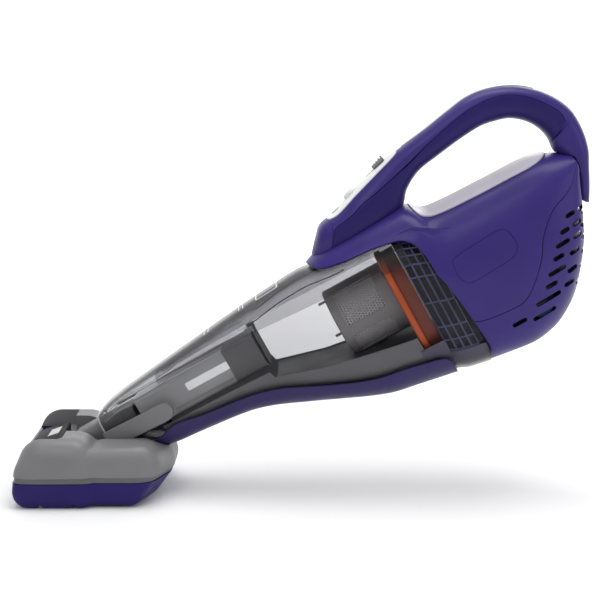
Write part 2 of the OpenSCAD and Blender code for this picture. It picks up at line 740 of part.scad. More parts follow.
// Cradle that grips the nozzle from below, with a wing along each side
wing_end = [[-90, 17], [-50, 18], [-36, 21], [-20, 32], [-8, 50], [-3, 58], [1, 57], [4, 53]];
wing_angles = [4, 1, -3, -8, -14, -20, -28, -36, -50, -68];
module nozzle_saddle() {
  color("#68686a") vac() wall([for (u = [0, 0.12, 0.3, 0.5, 0.7, 0.88, 1]) concat(
    saddle_wing(u, 3.6), saddle_wing(u, 0.9))]);
}
function wing_pt(u, b, side, out) =
  let (s = lerp(-1, along(wing_end, b), u), p = bowl_pt(max(0, s), b, -out)) [s, side * p[1], p[2]];
function saddle_wing(u, out) = concat(
  [for (b = wing_angles) wing_pt(u, b, -1, out)], [wing_pt(u, -90, 1, out)],
  [for (i = [len(wing_angles) - 1:-1:0]) wing_pt(u, wing_angles[i], 1, out)]);

module brush_cover() {
  color("#1f1f22") translate([0, 26, 0]) rotate([90, 0, 0]) linear_extrude(height = 52)
    polygon([[-34.5, 41], [-34.5, 44], [-31, 46], [-15, 50.4], [-12, 48.5], [-12, 41]]);
}

module label_plate() {
  color("#c9c9c9") translate([-30, 0, 46.3]) rotate([0, -15.4, 0]) translate([0, -10, 0.05])
    cube([14, 20, 0.8]);
}

module sole_plate() {
  color("#2a2a2d") difference() {
    translate([-41, -50, 0]) cube([82, 100, 2.4]);
    translate([-37, 2 - mouth_half_w, -1]) cube([34, 2 * mouth_half_w - 4, 5]);
    for (p = sole_screws) translate([p[0], p[1], -1]) cylinder(r = 1.6, h = 5);
  }
}

module brushroll_core() {
  color("#33333a") translate([brush_x, 0, brush_z]) rotate([90, 0, 0]) {
    cylinder(r = 11, h = 84, center = true);
    cylinder(r = 3, h = 108, center = true);
  }
}

strips = 4;
module bristle_strips() {
  color("#e8e6ef") translate([brush_x, 0, brush_z]) rotate([90, 0, 0]) for (k = [0:strips - 1])
    rotate([0, 0, k * 360 / strips]) translate([11, -1, -41]) cube([brush_r - 11, 2, 82]);
}

module brush_pulley() {
  color("#8d8d92") translate([brush_x, belt_y, brush_z]) rotate([90, 0, 0]) difference() {
    cylinder(r = brush_pulley_r, h = 7, center = true);
    cylinder(r = 3, h = 9, center = true);
  }
}

module brush_bearings() {
  color("#b9bcc0") for (y = [-52.5, 52.5]) translate([brush_x, y, brush_z]) rotate([90, 0, 0]) difference() {
    cylinder(r = 7, h = 4, center = true);
    cylinder(r = 3.05, h = 6, center = true);
  }
}

module drive_belt() {
  color("#18181a") translate([0, belt_y, 0]) rotate([90, 0, 0])
    linear_extrude(height = 5, center = true) difference() {
      hull() belt_ends(1.35);
      hull() belt_ends(0.15);
    }
}
module belt_ends(grow) {
  translate([brush_x, brush_z]) circle(r = brush_pulley_r + grow);
  translate([motor_x, motor_z]) circle(r = small_pulley_r + grow);
}

module head_motor() {
  color("#9a9ca1") translate([motor_x, 0, motor_z]) rotate([90, 0, 0]) difference() {
    translate([0, 0, -34]) cylinder(r = 10, h = 48);
    translate([0, 0, -40]) cylinder(r = 1.25, h = 20);
  }
}

module motor_pulley() {
  color("#c9a24a") translate([motor_x, belt_y, motor_z]) rotate([90, 0, 0]) {
    cylinder(r = small_pulley_r, h = 7, center = true);
    cylinder(r = 1.2, h = 24);
  }
}

module contact_pins() {
  color("#caa64c") vac() for (y = [-9, 9]) translate([-9, y, 0.5]) rotate([0, 90, 0])
    cylinder(r = 1.2, h = 7);
}

module head_screws() {
  color("#8a8a90") for (p = sole_screws) translate([p[0], p[1], 0.6]) cylinder(r = 1.5, h = 8);
}

body_shell_left();
body_shell_right();
rear_vent_cover();
handle_top_cover();
handle_grip();
switch_panel();
saddle_insert();
handle_top_insert();
indicator_lens();
inlet_grille();
fan_shroud();
motor_can();
motor_mount_ring();
battery_cells();
battery_holder();
circuit_board();
charge_jack();
slide_microswitch();
wire_harness();
body_screws();
button_spring();
power_switch();
release_button();
fan_impeller();
motor_shaft();
dust_bowl();
keel_cover();
intake_duct();
flap_pin();
supply_ribbon();
inlet_flap();
filter_rim();
filter_strainer();
filter_mesh();
pleated_filter();
head_top_shell();
head_bottom_shell();
head_spout();
nozzle_saddle();
brush_cover();
label_plate();
sole_plate();
brush_bearings();
drive_belt();
head_motor();
contact_pins();
head_screws();
brushroll_core();
bristle_strips();
brush_pulley();
motor_pulley();
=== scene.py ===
"""The looks of a cordless handheld vacuum with a motorised pet head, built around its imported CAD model."""
import json
import math
import random

import bmesh
import bpy
from mathutils import Matrix, Vector


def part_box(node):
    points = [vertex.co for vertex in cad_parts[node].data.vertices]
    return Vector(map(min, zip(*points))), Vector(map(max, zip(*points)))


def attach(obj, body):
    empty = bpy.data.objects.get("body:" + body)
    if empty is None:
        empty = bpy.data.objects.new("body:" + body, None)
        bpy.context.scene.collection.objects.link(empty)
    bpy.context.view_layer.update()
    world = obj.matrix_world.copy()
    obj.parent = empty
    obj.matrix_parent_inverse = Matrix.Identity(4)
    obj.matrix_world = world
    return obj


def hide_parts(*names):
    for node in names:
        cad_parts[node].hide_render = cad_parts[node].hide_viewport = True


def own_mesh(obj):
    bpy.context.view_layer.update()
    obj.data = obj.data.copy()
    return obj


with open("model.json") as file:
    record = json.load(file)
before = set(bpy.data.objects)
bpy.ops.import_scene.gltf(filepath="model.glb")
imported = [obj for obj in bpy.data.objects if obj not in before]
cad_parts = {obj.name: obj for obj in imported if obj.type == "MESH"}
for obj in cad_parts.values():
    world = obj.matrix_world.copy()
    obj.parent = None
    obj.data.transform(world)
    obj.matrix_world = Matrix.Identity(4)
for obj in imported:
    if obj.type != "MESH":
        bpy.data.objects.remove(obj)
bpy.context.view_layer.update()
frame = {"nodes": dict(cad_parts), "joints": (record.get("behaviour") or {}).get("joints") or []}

MM = 0.001
joints = {j["name"]: j for j in frame["joints"]}

# The vacuum frame: s along the vacuum's own axis from the nozzle's tip, w up from that axis, both in mm.
FAN_S = 320
AXIS = Vector(joints["fan_spin"]["axis"]).normalized()
UP = Vector((-AXIS.z, 0, AXIS.x))
NOZZLE = Vector(joints["fan_spin"]["pos_m"]) - AXIS * FAN_S * MM


def vac(s, y, w):
    """A point given in the vacuum frame, in metres in the row frame."""
    return NOZZLE + (AXIS * s + UP * w) * MM + Vector((0, y * MM, 0))


def row(x, y, z):
    """A point given in mm in the row frame, in metres."""
    return Vector((x, y, z)) * MM


# ---- Camera, light and floor ----

CAMERA_PLACE = (179.9, -1062.6, 347.8)
CAMERA_DOWN = 10
LENS, SENSOR_WIDTH = 78, 36
LAMP_TARGET = (190, 0, 150)
# Each lamp: its place, its width and height, in metres, and its power in watts.
LAMPS = {
    "key": ((-0.5, -1.3, 1.7), (1.0, 0.8), 7),
    "top": ((0.25, 0.1, 1.9), (1.6, 0.9), 22),
    "fill": ((1.5, -0.9, 0.7), (0.8, 1.0), 3),
    "rim": ((0.9, 1.4, 0.9), (1.2, 0.8), 8),
}
SKY_STRENGTH = 0.5
# The backdrop in metres: a flat floor that bends up into a wall.
FLOOR_FRONT, FLOOR_BEND, BEND_RADIUS, WALL_TOP, FLOOR_HALF = -3, 1.4, 1, 4, 6


def make_camera():
    data = bpy.data.cameras.new("camera")
    data.lens = LENS
    data.sensor_width = SENSOR_WIDTH
    data.clip_end = 50
    camera = bpy.data.objects.new("camera", data)
    camera.location = row(*CAMERA_PLACE)
    camera.rotation_euler = (math.radians(90 - CAMERA_DOWN), 0, 0)
    bpy.context.collection.objects.link(camera)
    bpy.context.scene.camera = camera


def make_lamps():
    for name, (spot, size, power) in LAMPS.items():
        data = bpy.data.lights.new(name, "AREA")
        data.shape = "RECTANGLE"
        data.size, data.size_y = size
        data.energy = power
        lamp = bpy.data.objects.new(name, data)
        lamp.location = spot
        lamp.rotation_euler = (row(*LAMP_TARGET) - Vector(spot)).to_track_quat("-Z", "Y").to_euler()
        bpy.context.collection.objects.link(lamp)


def make_stage():
    world = bpy.data.worlds.new("studio")
    world.use_nodes = True
    sky = world.node_tree.nodes["Background"]
    sky.inputs["Color"].default_value = (1, 1, 1, 1)
    sky.inputs["Strength"].default_value = SKY_STRENGTH
    bpy.context.scene.world = world
    bpy.context.scene.view_settings.view_transform = "Standard"
    make_lamps()
    profile = [(FLOOR_FRONT, 0), (FLOOR_BEND, 0)]
    for a in [math.radians(d) for d in range(10, 91, 10)]:
        profile.append((FLOOR_BEND + BEND_RADIUS * math.sin(a), BEND_RADIUS * (1 - math.cos(a))))
    profile.append((FLOOR_BEND + BEND_RADIUS, WALL_TOP))
    bm = bmesh.new()
    surface(bm, [[(x, y, z) for y, z in profile] for x in (-FLOOR_HALF, FLOOR_HALF)])
    floor = as_object("floor", bm)
    floor.data.materials.append(floor_material())


# ---- Materials ----

def linear(rgb):
    """Eight-bit screen colour as the linear colour that the shaders use."""
    parts = [c / 255 for c in rgb]
    return [c / 12.92 if c <= 0.04045 else ((c + 0.055) / 1.055) ** 2.4 for c in parts] + [1]


def scaled(colour, k):
    return [min(1, c * k) for c in colour[:3]] + [1]


class Shader:
    """A new material with its Principled shader, and short calls that add nodes to it."""

    def __init__(self, name):
        self.material = bpy.data.materials.new(name)
        self.material.use_nodes = True
        self.tree = self.material.node_tree
        self.surface = self.tree.nodes["Principled BSDF"]
        self.output = self.tree.nodes["Material Output"]
        self.place = self.node("ShaderNodeTexCoord").outputs["Object"]

    def node(self, kind, links=(), **values):
        made = self.tree.nodes.new(kind)
        for key, value in values.items():
            setattr(made, key, value)
        for socket, source in dict(links).items():
            if hasattr(source, "is_output"):
                self.tree.links.new(source, made.inputs[socket])
            else:
                made.inputs[socket].default_value = source
        return made

    def noise(self, scale, detail=3.0, stretch=None):
        spot = self.place
        if stretch:
            spot = self.node("ShaderNodeMapping", {"Vector": spot, "Scale": stretch}).outputs[0]
        made = self.node("ShaderNodeTexNoise", {"Vector": spot, "Scale": scale, "Detail": detail})
        return made.outputs["Fac"]

    def ramp(self, factor, low, high, start=0.35, end=0.65):
        made = self.node("ShaderNodeValToRGB", {"Fac": factor})
        made.color_ramp.elements[0].position = start
        made.color_ramp.elements[0].color = low
        made.color_ramp.elements[1].position = end
        made.color_ramp.elements[1].color = high
        return made.outputs["Color"]

    def bump(self, height, strength, distance):
        made = self.node("ShaderNodeBump", {"Height": height, "Strength": strength, "Distance": distance})
        self.tree.links.new(made.outputs[0], self.surface.inputs["Normal"])

    def wire(self, socket, source):
        self.tree.links.new(source, self.surface.inputs[socket])

    def drift(self, socket, factor, low, high):
        """Lets a socket of the surface wander between two values."""
        self.wire(socket, self.ramp(factor, low, high))

    def set(self, **values):
        for key, value in values.items():
            self.surface.inputs[key.replace("_", " ")].default_value = value


def grey(value):
    return (value, value, value, 1)


def plastic(name, rgb, rough, vary, grain, coat=0.0, shine=0.5):
    """Moulded plastic: faint colour drift, fine grain and uneven gloss."""
    shader = Shader(name)
    colour = linear(rgb)
    shader.drift("Base Color", shader.noise(18), scaled(colour, 1 - vary), scaled(colour, 1 + vary))
    shader.drift("Roughness", shader.noise(45, 5), grey(rough - 0.05), grey(rough + 0.06))
    shader.bump(shader.noise(900, 2), grain, 0.00008)
    shader.set(Coat_Weight=coat, Coat_Roughness=0.12, Specular_IOR_Level=shine)
    return shader.material


def metal(name, rgb, rough=0.3):
    """Brushed metal."""
    shader = Shader(name)
    colour = linear(rgb)
    streaks = shader.noise(400, 4, (1, 12, 1))
    shader.drift("Base Color", streaks, scaled(colour, 0.85), scaled(colour, 1.1))
    shader.drift("Roughness", streaks, grey(rough - 0.08), grey(rough + 0.12))
    shader.bump(streaks, 0.15, 0.0001)
    shader.set(Metallic=1.0)
    return shader.material


def smoky(name, tint, dark, clear_share, edge_share, rough=0.08):
    """Tinted clear plastic: it lets light through face on and darkens and shines towards its edges."""
    shader = Shader(name)
    colour = linear(dark)
    shader.drift("Base Color", shader.noise(14), scaled(colour, 0.85), scaled(colour, 1.15))
    shader.drift("Roughness", shader.noise(60, 4), grey(rough), grey(rough + 0.08))
    shader.set(Specular_IOR_Level=0.3)
    through = shader.node("ShaderNodeBsdfTransparent")
    through.inputs["Color"].default_value = linear(tint)
    facing = shader.node("ShaderNodeLayerWeight", {"Blend": 0.5}).outputs["Facing"]
    share = shader.ramp(facing, grey(clear_share), grey(edge_share), 0.3, 0.92)
    mix = shader.node("ShaderNodeMixShader", {0: share, 1: through.outputs[0], 2: shader.surface.outputs[0]})
    shader.tree.links.new(mix.outputs[0], shader.output.inputs["Surface"])
    return shader.material


def floor_material():
    """A pale matt floor that glows more the further it is from the object, so that it ends in white."""
    shader = Shader("pale_floor")
    shader.drift("Base Color", shader.noise(3), grey(0.86), grey(0.9))
    distance = shader.node("ShaderNodeVectorMath", {0: shader.place}, operation="LENGTH").outputs["Value"]
    shader.wire("Emission Strength", shader.ramp(distance, grey(0.0), grey(0.36), 0.5, 1.0))
    shader.set(Roughness=0.75, Specular_IOR_Level=0.2, Emission_Color=(1, 1, 1, 1))
    return shader.material


def pleated_paper():
    shader = Shader("filter_paper")
    fibres = shader.noise(700, 6, (1, 1, 3))
    shader.drift("Base Color", fibres, linear((206, 202, 192)), linear((232, 229, 221)))
    shader.bump(fibres, 0.5, 0.0003)
    shader.set(Roughness=0.9)
    return shader.material


def rubber(name, rgb):
    shader = Shader(name)
    colour = linear(rgb)
    shader.drift("Base Color", shader.noise(60, 5), scaled(colour, 0.8), scaled(colour, 1.25))
    shader.bump(shader.noise(1500, 3), 0.3, 0.0002)
    shader.set(Roughness=0.65)
    return shader.material


def bristle_material():
    shader = Shader("bristle")
    shader.drift("Base Color", shader.noise(300, 2), linear((205, 200, 222)), linear((238, 236, 246)))
    shader.set(Roughness=0.5)
    return shader.material


def board_material():
    shader = Shader("board_green")
    tracks = shader.node("ShaderNodeTexBrick", {"Vector": shader.place, "Scale": 260.0})
    tracks.inputs["Color1"].default_value = linear((34, 92, 48))
    tracks.inputs["Color2"].default_value = linear((40, 104, 56))
    tracks.inputs["Mortar"].default_value = linear((96, 150, 92))
    shader.wire("Base Color", tracks.outputs["Color"])
    shader.set(Roughness=0.4)
    return shader.material


# Each moulded plastic: colour, roughness, colour drift, grain, coat and shine.
PLASTICS = {
    "purple_body": ((50, 37, 108), 0.38, 0.05, 0.2, 0.05, 0.2),
    "purple_grip": ((32, 22, 88), 0.4, 0.05, 0.3, 0.0, 0.2),
    "purple_head": ((33, 20, 92), 0.4, 0.05, 0.3, 0.0, 0.2),
    "purple_keel": ((47, 39, 86), 0.42, 0.05, 0.3, 0.0, 0.2),
    "white_plastic": ((218, 218, 219), 0.35, 0.03, 0.2),
    "pale_grey": ((188, 184, 195), 0.4, 0.04, 0.3),
    "label_grey": ((186, 186, 188), 0.45, 0.05, 0.2),
    "lid_black": ((26, 26, 28), 0.55, 0.05, 0.2, 0.0, 0.15),
    "mid_grey": ((114, 114, 116), 0.45, 0.05, 0.4),
    "band_grey": ((92, 91, 95), 0.45, 0.05, 0.3),
    "collar_grey": ((100, 100, 102), 0.4, 0.05, 0.3),
    "duct_grey": ((200, 200, 202), 0.35, 0.06, 0.2),
    "duct_dark": ((128, 128, 131), 0.4, 0.06, 0.2),
    "lattice_blue": ((124, 122, 162), 0.4, 0.06, 0.2),
    "collar_dark": ((40, 40, 44), 0.5, 0.08, 0.2),
    "nose_purple": ((112, 108, 128), 0.45, 0.06, 0.2),
    "dark_grey": ((44, 44, 48), 0.4, 0.08, 0.3),
    "cage_grey": ((160, 156, 157), 0.4, 0.08, 0.2),
    "mesh_grey": ((214, 211, 211), 0.4, 0.1, 0.1),
    "orange_rim": ((250, 114, 60), 0.38, 0.06, 0.2),
    "orange_dark": ((150, 78, 58), 0.5, 0.06, 0.2),
    "tray_smoke": ((138, 138, 141), 0.4, 0.06, 0.2),
    # The pale glossy clear below paints highlights: beads and strips on the bowl and on the duct.
    "highlight_clear": ((172, 172, 175), 0.15, 0.03, 0.05, 0.5),
    "print_white": ((232, 232, 232), 0.5, 0.03, 0.1),
    "cell_wrap": ((64, 120, 158), 0.3, 0.06, 0.1),
}
finish = {name: plastic(name, *values) for name, values in PLASTICS.items()}
finish.update({
    "clear_smoke": smoky("clear_smoke", (239, 239, 240), (58, 58, 61), 0.04, 0.85),
    "roof_smoke": smoky("roof_smoke", (240, 240, 241), (134, 134, 136), 0.1, 0.45, 0.2),
    "filter_paper": pleated_paper(),
    "steel": metal("steel", (176, 178, 184)),
    "brass": metal("brass", (202, 166, 84), 0.28),
    "rubber": rubber("rubber", (34, 34, 36)),
    "board_green": board_material(),
    "bristle": bristle_material(),
    "wire": rubber("wire", (124, 32, 32)),
})


# ---- Mesh helpers ----

WELD = 1e-6  # metres within which points become one


def as_object(name, bm):
    mesh = bpy.data.meshes.new(name)
    bm.to_mesh(mesh)
    bm.free()
    made = bpy.data.objects.new(name, mesh)
    bpy.context.collection.objects.link(made)
    return made


def bake_modifiers(obj):
    """Replaces obj's mesh by what its modifiers make of it."""
    bpy.context.view_layer.update()
    seen = obj.evaluated_get(bpy.context.evaluated_depsgraph_get())
    mesh = bpy.data.meshes.new_from_object(seen)
    obj.modifiers.clear()
    obj.data = mesh


def cut(obj, tools, operation="DIFFERENCE"):
    """Cuts obj with each tool in turn and throws the tools away."""
    for tool in tools:
        step = obj.modifiers.new("cut", "BOOLEAN")
        step.operation = operation
        step.solver = "EXACT"
        step.object = tool
        bake_modifiers(obj)
        bpy.data.objects.remove(tool)


def thicken(obj, wall, even=True):
    step = obj.modifiers.new("wall", "SOLIDIFY")
    step.thickness = wall * MM
    step.offset = -1
    step.use_even_offset = even
    bake_modifiers(obj)


def round_edges(obj, width, angle, segments=2):
    step = obj.modifiers.new("edges", "BEVEL")
    step.width = width * MM
    step.segments = segments
    step.limit_method = "ANGLE"
    step.angle_limit = math.radians(angle)
    bake_modifiers(obj)


def place(obj, body, look, replaces=(), sharp=38):
    """Finishes a piece: smooth shading, its look, the body that it rides on and what it stands for."""
    obj.data.shade_smooth()
    obj.data.set_sharp_from_angle(angle=math.radians(sharp))
    obj.data.materials.clear()
    obj.data.materials.append(finish[look])
    if replaces:
        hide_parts(*replaces)
    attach(obj, body)
    return obj


def surface(bm, rows, wraps=False):
    """Adds quads over rows of points."""
    lines = [[bm.verts.new(p) for p in line] for line in rows]
    for one, two in zip(lines, lines[1:]):
        for j in range(len(one) - (0 if wraps else 1)):
            k = (j + 1) % len(one)
            bm.faces.new((one[j], two[j], two[k], one[k]))
    return lines


def sheet(name, rows, wall, centre=None, wraps=False, edge=0, even=True):
    """An open surface given a wall that grows inwards, towards centre."""
    bm = bmesh.new()
    surface(bm, rows, wraps)
    bmesh.ops.remove_doubles(bm, verts=bm.verts, dist=WELD)
    flat = [p for line in rows for p in line]
    middle = centre or sum(flat, Vector()) / len(flat)
    bm.normal_update()
    outward = sum(f.normal.dot(f.calc_center_median() - middle) * f.calc_area() for f in bm.faces)
    if outward < 0:
        bmesh.ops.reverse_faces(bm, faces=bm.faces)
    obj = as_object(name, bm)
    thicken(obj, wall, even)
    if edge:
        round_edges(obj, edge, 50)
    return obj


def loft(rows):
    """A closed solid over loops of points."""
    bm = bmesh.new()
    lines = surface(bm, rows, wraps=True)
    bm.faces.new(lines[0])
    bm.faces.new(reversed(lines[-1]))
    bmesh.ops.recalc_face_normals(bm, faces=bm.faces)
    return bm


def solid(name, rows):
    return as_object(name, loft(rows))


def merged(name, parts):
    """One object out of several meshes."""
    bm = bmesh.new()
    for part in parts:
        mesh = bpy.data.meshes.new("part")
        part.to_mesh(mesh)
        part.free()
        bm.from_mesh(mesh)
        bpy.data.meshes.remove(mesh)
    return as_object(name, bm)


def block(size, matrix, bevel=0.0, segments=2):
    """A box with rounded edges: size in mm about its own centre."""
    bm = bmesh.new()
    bmesh.ops.create_cube(bm, size=1, matrix=Matrix.Diagonal((*[d * MM for d in size], 1)))
    if bevel:
        bmesh.ops.bevel(bm, geom=bm.edges[:], offset=bevel * MM, segments=segments, affect="EDGES",
                        profile=0.5)
    bmesh.ops.transform(bm, matrix=matrix, verts=bm.verts)
    return bm


def closed_up(rows):
    """A closed mesh over rows whose first and last lie on each other."""
    bm = bmesh.new()
    surface(bm, rows, wraps=True)
    bmesh.ops.remove_doubles(bm, verts=bm.verts, dist=WELD)
    bmesh.ops.recalc_face_normals(bm, faces=bm.faces)
    return bm


def turned(profile, matrix, sides):
    """A solid of revolution about local Z: profile is a closed outline of (radius, height) in mm."""
    rows = []
    for i in range(sides + 1):
        a = 2 * math.pi * i / sides
        x, y = math.cos(a), math.sin(a)
        rows.append([matrix @ Vector((r * x * MM, r * y * MM, z * MM)) for r, z in profile])
    return closed_up(rows)


def rod(a, b, radius, sides=20, taper=1.0):
    """A straight round bar between two points, in metres, with its radius in mm."""
    run = b - a
    turn = Matrix.Translation(a) @ run.to_track_quat("Z", "Y").to_matrix().to_4x4()
    length = run.length / MM
    return turned([(0, 0), (radius, 0), (radius * taper, length), (0, length)], turn, sides)


def sweep(path, radius, sides, closed=False):
    """A round tube along points, in metres, with its radius in mm."""
    rows = []
    count = len(path)
    side = None
    for i, p in enumerate(path):
        before = path[(i - 1) % count] if closed else path[max(0, i - 1)]
        after = path[(i + 1) % count] if closed else path[min(count - 1, i + 1)]
        run = (after - before).normalized()
        if side is None:
            side = run.orthogonal().normalized()
        side = (side - run * side.dot(run)).normalized()
        up = run.cross(side)
        rows.append([p + (side * math.cos(t) + up * math.sin(t)) * radius * MM
                     for t in [2 * math.pi * k / sides for k in range(sides)]])
    return closed_up(rows + [rows[0]]) if closed else loft(rows)


def hull(name, bm):
    """The convex hull of a mesh's points."""
    made = bmesh.ops.convex_hull(bm, input=bm.verts)
    bmesh.ops.delete(bm, geom=made["geom_interior"] + made["geom_unused"], context="VERTS")
    bmesh.ops.recalc_face_normals(bm, faces=bm.faces)
    return as_object(name, bm)


def bars(name, rows, width):
    """Round bars along the edges of a net of points."""
    bm = bmesh.new()
    surface(bm, rows)
    made = as_object(name, bm)
    step = made.modifiers.new("bars", "WIREFRAME")
    step.thickness = width * MM
    bake_modifiers(made)
    return made


def frame_at(s, y, w, slope=0.0):
    """Local axes at a vacuum point: X along s, Y across, Z up, turned up at the front by slope degrees."""
    base = Matrix((AXIS, Vector((0, 1, 0)), UP)).transposed().to_4x4()
    return Matrix.Translation(vac(s, y, w)) @ base @ Matrix.Rotation(math.radians(-slope), 4, "Y")


def along_axis(s, w):
    """Local Z along the vacuum's axis."""
    turn = Matrix((UP, Vector((0, -1, 0)), AXIS)).transposed().to_4x4()
    return Matrix.Translation(vac(s, 0, w)) @ turn


# ---- The curves of the body ----

HALF, GRIP = 50.5, 16  # half widths of the body and of the grip
# Outlines as (s, height or half width).
BODY_TOP = [(206, 66), (214, 66.8), (226, 71), (240, 73), (300, 72.5), (309, 69), (317, 60.5),
            (327, 57.3), (370, 55.6), (412, 54.6), (424, 52), (438, 45.5), (448, 37.5), (456, 30)]
BODY_LOW = [(206, -56), (227, -63.4), (248, -67.1), (268, -70.8), (300, -75.7), (328, -79.6),
            (348, -81.7), (361, -80.2), (375.5, -75.3), (393.5, -63), (406.8, -47.8), (421, -27.2),
            (428, -11.8), (433.3, 1), (439.2, 17), (443.5, 27), (456, 32)]
BODY_HALF = [(206, HALF - 6), (250, HALF - 1), (280, HALF), (340, HALF), (380, HALF - 2.5),
             (405, HALF - 6.5), (425, HALF - 13.5), (440, 28), (450, 20), (456, 12)]
BOWL_TOP = [(0, 39), (12, 43.8), (47, 48.9), (97, 54.7), (146, 60.4), (183, 63.6), (204, 64.8),
            (214, 63.4), (230, 60.5), (250, 59.3), (266, 58.5), (285, 56), (292, 54), (300, 50.5),
            (316, 46)]
BOWL_LOW = [(0, 5), (22, 3.6), (30, -1.5), (42, -8.4), (50, -10.2), (69, -11.6), (113, -16.1),
            (133, -21.3), (161, -33), (189, -45.4), (208, -53.7), (227, -60.4), (248, -64.1),
            (268, -67.8), (282, -70.5), (290, -74), (300, -76.2), (316, -79)]
BOWL_HALF = [(0, 20), (47, 26.5), (97, 32), (146, 38), (183, 42.5), (214, 46), (250, HALF - 1),
             (280, HALF - 0.2), (316, HALF - 0.2)]
# Edges on the shells, with angles round the section: 90 is the top and -90 the underside.
# The first two are (angle, s), the others (s, angle).
ARCH_EDGE = [(-90, 310), (-58, 311), (-48, 313.5), (-24, 312), (-4.5, 309), (7.5, 304), (22.5, 302),
             (33, 298), (39, 292), (42, 285), (45, 266), (46.5, 244), (54, 225), (75, 217), (90, 214)]
BOWL_EDGE = [(-90, 309.6), (-57, 310.6), (-47, 313), (-20, 311.5), (0, 308.5), (9.5, 303.6),
             (31, 301.5), (51, 297.3), (62, 294), (75, 292), (90, 291)]
COVER_SEAM = [(206, -18), (348, -18), (358, -16), (366, -12), (380, -4), (394, 4), (408, 8), (422, 5),
              (433, 1), (440, 2), (447, 4)]
KEEL_EDGE = [(24, -70), (34, -40), (52, -18), (80, -24), (106, -27), (148, -27), (178, -33), (208, -36),
             (241, -34.5), (265, -36), (277, -38), (281, -44)]
LINER_EDGE = [(311, 84), (313, 70), (319, 66), (355, 64.5), (390, 63), (410, 61), (420, 66), (427, 82)]
# The handle's sections: s and w on its outer side, s and w on its inner side, half width.
RINGS = [(222, 71, 226, 60, 12), (231, 81, 231, 60, 19), (240, 89, 241, 60, 22),
         (256, 91.5, 256, 60, 23.5), (275, 98.5, 277, 60, 23), (292, 104, 297, 62, 21),
         (305, 107.5, 308, 71, 19), (318, 110.5, 316, 80, 17.3), (333, 112.8, 331, 88.3, 16.5),
         (352, 115.6, 351, 91.7, GRIP), (372, 119.2, 372, 94.7, GRIP), (392, 122, 391, 95.9, GRIP),
         (410, 119.8, 404, 93.8, GRIP), (428, 112.7, 415, 90, GRIP), (443, 101.5, 425, 82.3, GRIP),
         (455, 87, 432, 72.3, GRIP), (461.5, 72, 435.3, 61, GRIP), (462.5, 55, 435, 50, 16.5),
         (459.5, 38, 438, 40, 17), (453, 24, 440, 29, 16.5), (446.5, 10, 438, 19, 14.5),
         (440.5, -1.5, 434, 7, 12)]
# The handle's seam: section number, angle.
HANDLE_SEAM = [(0, -60), (1.4, -30), (2.15, -4), (2.6, 18), (2.9, 22), (3.45, 18), (4.25, 20),
               (5.5, 14), (7.1, 2), (8.05, 0), (9.1, 8), (10.4, 14), (11.2, 14), (12, 20), (12.7, 22),
               (13.6, 20), (14.55, 16), (15.5, 16), (15.95, 10), (16.1, 0), (16.25, -50), (16.6, -85),
               (17, -85), (21, -85)]
RING_CURVES = [[(i, ring[k]) for i, ring in enumerate(RINGS)] for k in range(5)]


def along(table, x):
    """A smooth curve through the points of a table, read at x."""
    i = 0
    while i < len(table) - 2 and x >= table[i + 1][0]:
        i += 1

    def slope(k):
        a, b = table[max(0, k - 1)], table[min(len(table) - 1, k + 1)]
        return (b[1] - a[1]) / (b[0] - a[0])

    run = table[i + 1][0] - table[i][0]
    u = min(1, max(0, (x - table[i][0]) / run))
    start, end = slope(i) * run, slope(i + 1) * run
    return ((2 * u**3 - 3 * u * u + 1) * table[i][1] + (u**3 - 2 * u * u + u) * start
            + (3 * u * u - 2 * u**3) * table[i + 1][1] + (u**3 - u * u) * end)


def straight(table, x):
    """Straight lines through the points of a table, read at x."""
    for (x0, y0), (x1, y1) in zip(table, table[1:]):
        if x <= x1:
            return y0 + (y1 - y0) * max(0, (x - x0) / (x1 - x0))
    return table[-1][1]


def power(x, e):
    return math.copysign(abs(x) ** e, x)


def lerp(a, b, u):
    return a + (b - a) * u


def steps(a, b, n):
    return [lerp(a, b, i / n) for i in range(n + 1)]


def round_pt(angle, half_w, low, top, e, inset=0.0):
    a = math.radians(angle)
    half_h = (top - low) / 2
    return ((half_w - inset) * power(math.cos(a), 2 / e),
            (top + low) / 2 + (half_h - inset) * power(math.sin(a), 2 / e))


def body_pt(s, angle, inset=0.0):
    return round_pt(angle, along(BODY_HALF, s), along(BODY_LOW, s), along(BODY_TOP, s), 2.5, inset)


def on_body(s, angle, inset=0.0, side=1):
    """A point on the body, sunk in by inset; side is -1 on the near side."""
    y, w = body_pt(s, angle, inset)
    return vac(s, side * y, w)


BOWL_ROUND_UP = [(0, 3.6), (60, 3.1), (150, 2.7), (205, 2.7), (240, 3.6), (285, 4)]
BOWL_ROUND_DOWN = [(0, 3.6), (60, 3.1), (150, 2.7), (230, 2.5)]


def bowl_pt(s, angle, inset=0.0, down=0.0):
    e = straight(BOWL_ROUND_UP if math.sin(math.radians(angle)) > 0 else BOWL_ROUND_DOWN, s)
    low, top = along(BOWL_LOW, s) - down, along(BOWL_TOP, s) + down
    return round_pt(angle, along(BOWL_HALF, s), low, top, e, inset)


def on_bowl(s, angle, inset=0.0, side=1, down=0.0):
    """A point on the bowl, sunk in by inset and raised above and below by down."""
    y, w = bowl_pt(s, angle, inset, down)
    return vac(s, side * y, w)


def bowl_angle(s, w, inset):
    """The angle at which the bowl's section reaches height w."""
    top, low = along(BOWL_TOP, s), along(BOWL_LOW, s)
    share = (w - (top + low) / 2) / ((top - low) / 2 - inset)
    e = straight(BOWL_ROUND_UP if share > 0 else BOWL_ROUND_DOWN, s)
    return math.degrees(math.asin(power(max(-1, min(1, share)), e / 2)))


